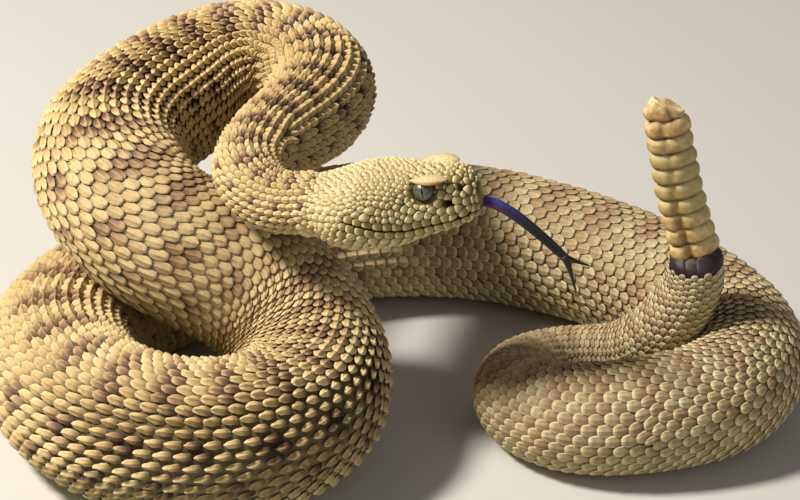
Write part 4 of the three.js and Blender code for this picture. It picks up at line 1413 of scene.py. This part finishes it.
def brow_finish(colors):
    finish = Finish("brow_plate", Roughness=0.45)
    out, up, share = finish.marks("out up share")
    cloud = finish.noise(1.4)
    rim = out.between(0.72, 0.9) * up.between(0.8, 0.6)
    base = finish.layers(
        colors.head,
        (cloud.between(0.35, 0.65) * 0.6, colors.tan),
        (cloud.between(0.6, 0.7) * 0.4, colors.blotch),
        (finish.noise(0.6, 3).between(0.5, 0.7) * 0.35, colors.olive),
        (rim * (0.6 + share * 0.4), colors.amber),
        # Painted shade on the brow's underside
        (up.between(0.42, 0.16), colors.hollow),
    )
    finish.color(base)
    finish.bump(finish.noise(0.6, 3), 0.3)
    return finish.material


def eye_finish(colors):
    finish = Finish("eye", Coat_Weight=1.0, Coat_Roughness=0.03, Roughness=0.35)
    gaze, level, height = finish.marks("gaze level height")
    mottle = finish.noise(0.45, 4)
    iris = finish.mix(mottle.between(0.35, 0.65), colors.iris, colors.iris_dark)
    room = (1 - (height / 0.62) ** 2).most(0.0)
    slit = abs(level) / (0.03 + room * 0.08)
    iris = finish.mix(slit.between(1.9, 1.25), iris, colors.iris_rim)
    inside = slit.between(1.15, 0.9) * abs(height).between(0.66, 0.6)
    iris = finish.mix(inside, iris, (0.002, 0.002, 0.002))
    # Painted shade where the ball turns into its socket
    iris = finish.mix(gaze.between(0.55, 0.3), iris, colors.hollow)
    finish.color(iris)
    return finish.material


def tongue_finish(colors):
    finish = Finish("tongue", Roughness=0.5, Coat_Weight=0.12, Coat_Roughness=0.35)
    run, across = finish.marks("run across")
    # From one edge of the root to the other, blue into purple: partly the tongue's own colour, partly
    # painted sheen
    root = finish.mix(across.between(-0.7, 0.6), colors.tongue_root, colors.tongue_side)
    base = finish.mix(run.between(0.12, 0.6), root, colors.tongue_tip)
    base = finish.mix(finish.noise(1.2).between(0.4, 0.7) * 0.5, base, colors.tongue_tip)
    finish.color(base)
    finish.bump(finish.noise(0.4), 0.05)
    return finish.material


def ring_finish(colors):
    finish = Finish("tail_ring", Roughness=0.55)
    (run,) = finish.marks("run")
    base = finish.mix(run.between(0.75, 1.0) * 0.35, colors.ring, colors.blotch)
    base = finish.mix(finish.noise(1.2) * 0.5, base, colors.hollow)
    finish.color(base)
    finish.bump(finish.noise(0.3), 0.06)
    return finish.material


def horn_finish(colors):
    finish = Finish("rattle_horn", Subsurface_Weight=0.1, Subsurface_Scale=0.001, Specular_IOR_Level=0.55)
    share, groove, age = finish.marks("share groove age")
    cloud, fine = finish.noise(2.2, 4), finish.noise(0.3, 3)
    middle = age.between(0.15, 0.4) * age.between(0.95, 0.6)
    base = finish.layers(
        colors.horn,
        (cloud.between(0.35, 0.65), colors.horn_dark),
        (middle * (0.4 + cloud * 0.4), colors.horn_olive),
        (age.between(0.75, 0.95) * cloud.between(0.4, 0.6), colors.horn_worn),
        # Painted shade: the groove darkens to amber
        (groove * 0.6, colors.amber),
        # Painted highlight: a pale band high on each segment
        (share.between(0.6, 0.78) * share.between(0.98, 0.85) * 0.3, colors.cream),
        # Painted shade in the creases at the foot and top of each segment
        (share.between(0.28, 0.0) * 0.8, colors.horn_seam_shade),
        (share.between(0.92, 1.04), colors.horn_seam_shade),
    )
    finish.color(base)
    finish.roughness(0.3 + fine * 0.3)
    finish.bump(fine + cloud * 0.8 + finish.noise(0.9) * age.between(0.6, 0.9) * 2, 0.16)
    return finish.material


def color_setting(name, description, *default):
    return FloatVectorProperty(
        name=name, description=description, subtype="COLOR", size=3, min=0, max=1, default=srgb(*default)
    )


class SnakeSizes(bpy.types.PropertyGroup):
    """Sizes of the scales"""

    scale_pitch: FloatProperty(
        name="Scale pitch", description="Distance between scales along the thickest part",
        default=0.0049, min=0.002, unit="LENGTH",
    )
    scale_width: FloatProperty(
        name="Scale width", description="Width of a scale as a share of its row",
        default=1.16, min=0.5, max=2.0, subtype="FACTOR",
    )
    scale_lift: FloatProperty(
        name="Scale lift", description="Rise of a scale from its root to its free edge",
        default=0.0012, min=0, unit="LENGTH",
    )
    keel_height: FloatProperty(
        name="Keel height", description="Height of the ridge along a scale",
        default=0.00045, min=0, unit="LENGTH",
    )


class SnakeColors(bpy.types.PropertyGroup):
    """Colours of the model"""

    cream: color_setting("Cream", "Ground colour in full light", 230, 214, 168)
    tan: color_setting("Tan", "Darker ground colour", 206, 178, 132)
    gold: color_setting("Gold", "Ground colour of neck and arch", 214, 172, 100)
    mauve: color_setting("Mauve", "Small flecks in the ground colour", 172, 134, 110)
    blotch: color_setting("Blotch", "Colour of the back's blotches", 158, 116, 84)
    # Painted shade between the scales of a blotch, with the blotch's own dark brown
    blotch_shade: color_setting("Blotch edge", "Colour between the scales of a blotch", 54, 34, 30)
    belly: color_setting("Belly", "Colour of the belly", 206, 192, 138)
    # Painted shade between the scales, with the skin's own dark
    gap: color_setting("Gap", "Colour between the scales", 72, 56, 34)
    skin: color_setting("Skin", "Colour of bare skin and of the middle of rear scales", 116, 100, 68)
    head: color_setting("Head", "Ground colour of the head", 216, 202, 152)
    # Painted shade between the head's plates and on their walls
    head_gap_shade: color_setting("Head gap", "Colour between the head's plates", 118, 98, 52)
    # On lower flanks and the plates' fore parts this olive is partly painted shade
    olive: color_setting("Olive", "Tint of lips, snout and the middle of scales", 140, 124, 60)
    # Painted shade inside pit, nostril and mouth, under the brows and round the eyeballs; on the tail's
    # ring, dark flecks
    hollow: color_setting("Hollow", "Colour inside pit, nostril and mouth", 26, 18, 11)
    # Along the rattle's groove this amber is painted shade; on the brows' edge it is their own colour
    amber: color_setting("Amber", "Edge of the brow plates and the rattle's groove", 146, 100, 34)
    iris: color_setting("Iris", "Pale flecks of the iris", 98, 98, 78)
    iris_dark: color_setting("Dark iris", "Ground colour of the iris", 50, 48, 34)
    iris_rim: color_setting("Pupil rim", "Pale rim of the pupil", 138, 134, 102)
    tongue_root: color_setting("Tongue root", "Upper edge of the tongue at its root", 40, 66, 168)
    tongue_side: color_setting("Tongue side", "Lower edge of the tongue at its root", 84, 36, 92)
    tongue_tip: color_setting("Tongue tip", "Tongue from its middle to its tips", 24, 17, 22)
    ring: color_setting("Ring", "Dark ring at the tail's end", 48, 35, 42)
    horn: color_setting("Horn", "Rattle", 230, 202, 142)
    horn_dark: color_setting("Dark horn", "Darker clouds on the rattle", 184, 148, 84)
    horn_olive: color_setting("Olive horn", "Older segments of the rattle", 176, 158, 98)
    # Painted shade in the creases between the rattle's segments
    horn_seam_shade: color_setting("Horn seam", "Between the rattle's segments", 78, 50, 28)
    horn_worn: color_setting("Worn horn", "Worn top of the rattle", 204, 160, 100)


class SnakeStage(bpy.types.PropertyGroup):
    """Floor and light"""

    floor: color_setting("Floor", "Colour of the floor", 204, 201, 195)
    key_power: FloatProperty(
        name="Main light", description="Power of the main light", default=14.5, min=0, unit="POWER"
    )
    fill_power: FloatProperty(
        name="Fill light", description="Power of the fill light", default=1.4, min=0, unit="POWER"
    )
    sky: FloatProperty(
        name="Sky", description="Strength of the even light from all round", default=0.16, min=0
    )


class SnakeSettings(bpy.types.PropertyGroup):
    """All settings of the model"""

    sizes: PointerProperty(type=SnakeSizes)
    colors: PointerProperty(type=SnakeColors)
    stage: PointerProperty(type=SnakeStage)


# Operators


def settings():
    return bpy.context.scene.snake


def shared_body():
    return Body(settings().sizes.scale_pitch / MM)


def aimed(sight):
    """The rotation of a light or camera that looks along a line of sight."""
    return sight.to_track_quat("-Z", "Y").to_euler()


class SNAKE_OT_skin(bpy.types.Operator):
    """Makes the one skin of head, body and tail"""

    bl_idname = "snake.skin"
    bl_label = "Skin"

    def execute(self, context):
        skin(shared_body(), Head(), skin_finish(settings().colors))
        return {"FINISHED"}


class SNAKE_OT_scales(bpy.types.Operator):
    """Makes the keeled scales of the body and the plates of the belly"""

    bl_idname = "snake.scales"
    bl_label = "Body scales"

    def execute(self, context):
        finish = scale_finish(settings().colors)
        body = shared_body()
        body_scales(body, settings().sizes, finish)
        belly_scutes(body, finish)
        return {"FINISHED"}


class SNAKE_OT_head(bpy.types.Operator):
    """Makes the head's plates, brows and eyes"""

    bl_idname = "snake.head"
    bl_label = "Head"

    def execute(self, context):
        head = Head()
        colors = settings().colors
        head_plates(head, head_form(head), head_finish(colors))
        brows(head, brow_finish(colors))
        eyes(head, eye_finish(colors))
        return {"FINISHED"}


class SNAKE_OT_tongue(bpy.types.Operator):
    """Makes the forked tongue"""

    bl_idname = "snake.tongue"
    bl_label = "Tongue"

    def execute(self, context):
        tongue(Head(), tongue_finish(settings().colors))
        return {"FINISHED"}


class SNAKE_OT_rattle(bpy.types.Operator):
    """Makes the tail's dark ring and the rattle"""

    bl_idname = "snake.rattle"
    bl_label = "Rattle"

    def execute(self, context):
        colors = settings().colors
        body = shared_body()
        tail_ring(body, ring_finish(colors))
        rattle(body, horn_finish(colors))
        return {"FINISHED"}


class SNAKE_OT_stage(bpy.types.Operator):
    """Makes the floor, the lights and the camera"""

    bl_idname = "snake.stage"
    bl_label = "Stage"

    def execute(self, context):
        stage = settings().stage
        scene = context.scene
        scene.view_settings.view_transform = "Standard"
        finish = Finish("floor", Roughness=0.9)
        finish.color(finish.mix(finish.noise(60) * 0.15, stage.floor, FLOOR_CLOUD))
        bpy.ops.mesh.primitive_plane_add(size=FLOOR_SIZE, location=(0, 0, 0))
        floor = context.object
        floor.name = "floor"
        floor.data.materials.append(finish.material)
        world = bpy.data.worlds.new("studio")
        world.use_nodes = True
        background = world.node_tree.nodes["Background"]
        background.inputs["Color"].default_value = WORLD_COLOR
        background.inputs["Strength"].default_value = stage.sky
        scene.world = world
        for (name, place, size, tint), power in zip(LIGHTS, (stage.key_power, stage.fill_power)):
            light = bpy.data.lights.new(name, "AREA")
            light.size = size
            light.energy = power
            light.color = tint
            lamp = bpy.data.objects.new(name, light)
            lamp.location = place
            lamp.rotation_euler = aimed(Vector(LIGHT_TARGET) - Vector(place))
            scene.collection.objects.link(lamp)
        lens = bpy.data.cameras.new("camera")
        lens.lens = VIEW_LENS
        lens.sensor_width = SENSOR_WIDTH
        lens.clip_start = 0.01
        camera = bpy.data.objects.new("camera", lens)
        rise = math.radians(VIEW_ELEVATION)
        sight = Vector((0, math.cos(rise), -math.sin(rise)))
        camera.location = (Vector(VIEW_TARGET) - sight * VIEW_DISTANCE) * MM
        camera.rotation_euler = aimed(sight)
        scene.collection.objects.link(camera)
        scene.camera = camera
        return {"FINISHED"}


OPERATORS = (
    SNAKE_OT_stage, SNAKE_OT_skin, SNAKE_OT_scales, SNAKE_OT_head, SNAKE_OT_tongue, SNAKE_OT_rattle,
)


class SNAKE_PT_panel(bpy.types.Panel):
    """Lists the settings and the operators"""

    bl_label = "Snake"
    bl_idname = "SNAKE_PT_panel"
    bl_space_type = "VIEW_3D"
    bl_region_type = "UI"
    bl_category = "Snake"

    def draw(self, context):
        for group in (settings().sizes, settings().colors, settings().stage):
            for name in group.bl_rna.properties.keys():
                if name not in ("rna_type", "name"):
                    self.layout.prop(group, name)
        for operator in OPERATORS:
            self.layout.operator(operator.bl_idname)


CLASSES = (SnakeSizes, SnakeColors, SnakeStage, SnakeSettings, *OPERATORS, SNAKE_PT_panel)


def register():
    for entry in CLASSES:
        bpy.utils.register_class(entry)
    bpy.types.Scene.snake = PointerProperty(type=SnakeSettings)


def unregister():
    del bpy.types.Scene.snake
    for entry in reversed(CLASSES):
        bpy.utils.unregister_class(entry)


def main():
    register()
    for operator in OPERATORS:
        getattr(bpy.ops.snake, operator.bl_idname.split(".")[1])()


if __name__ == "__main__":
    main()
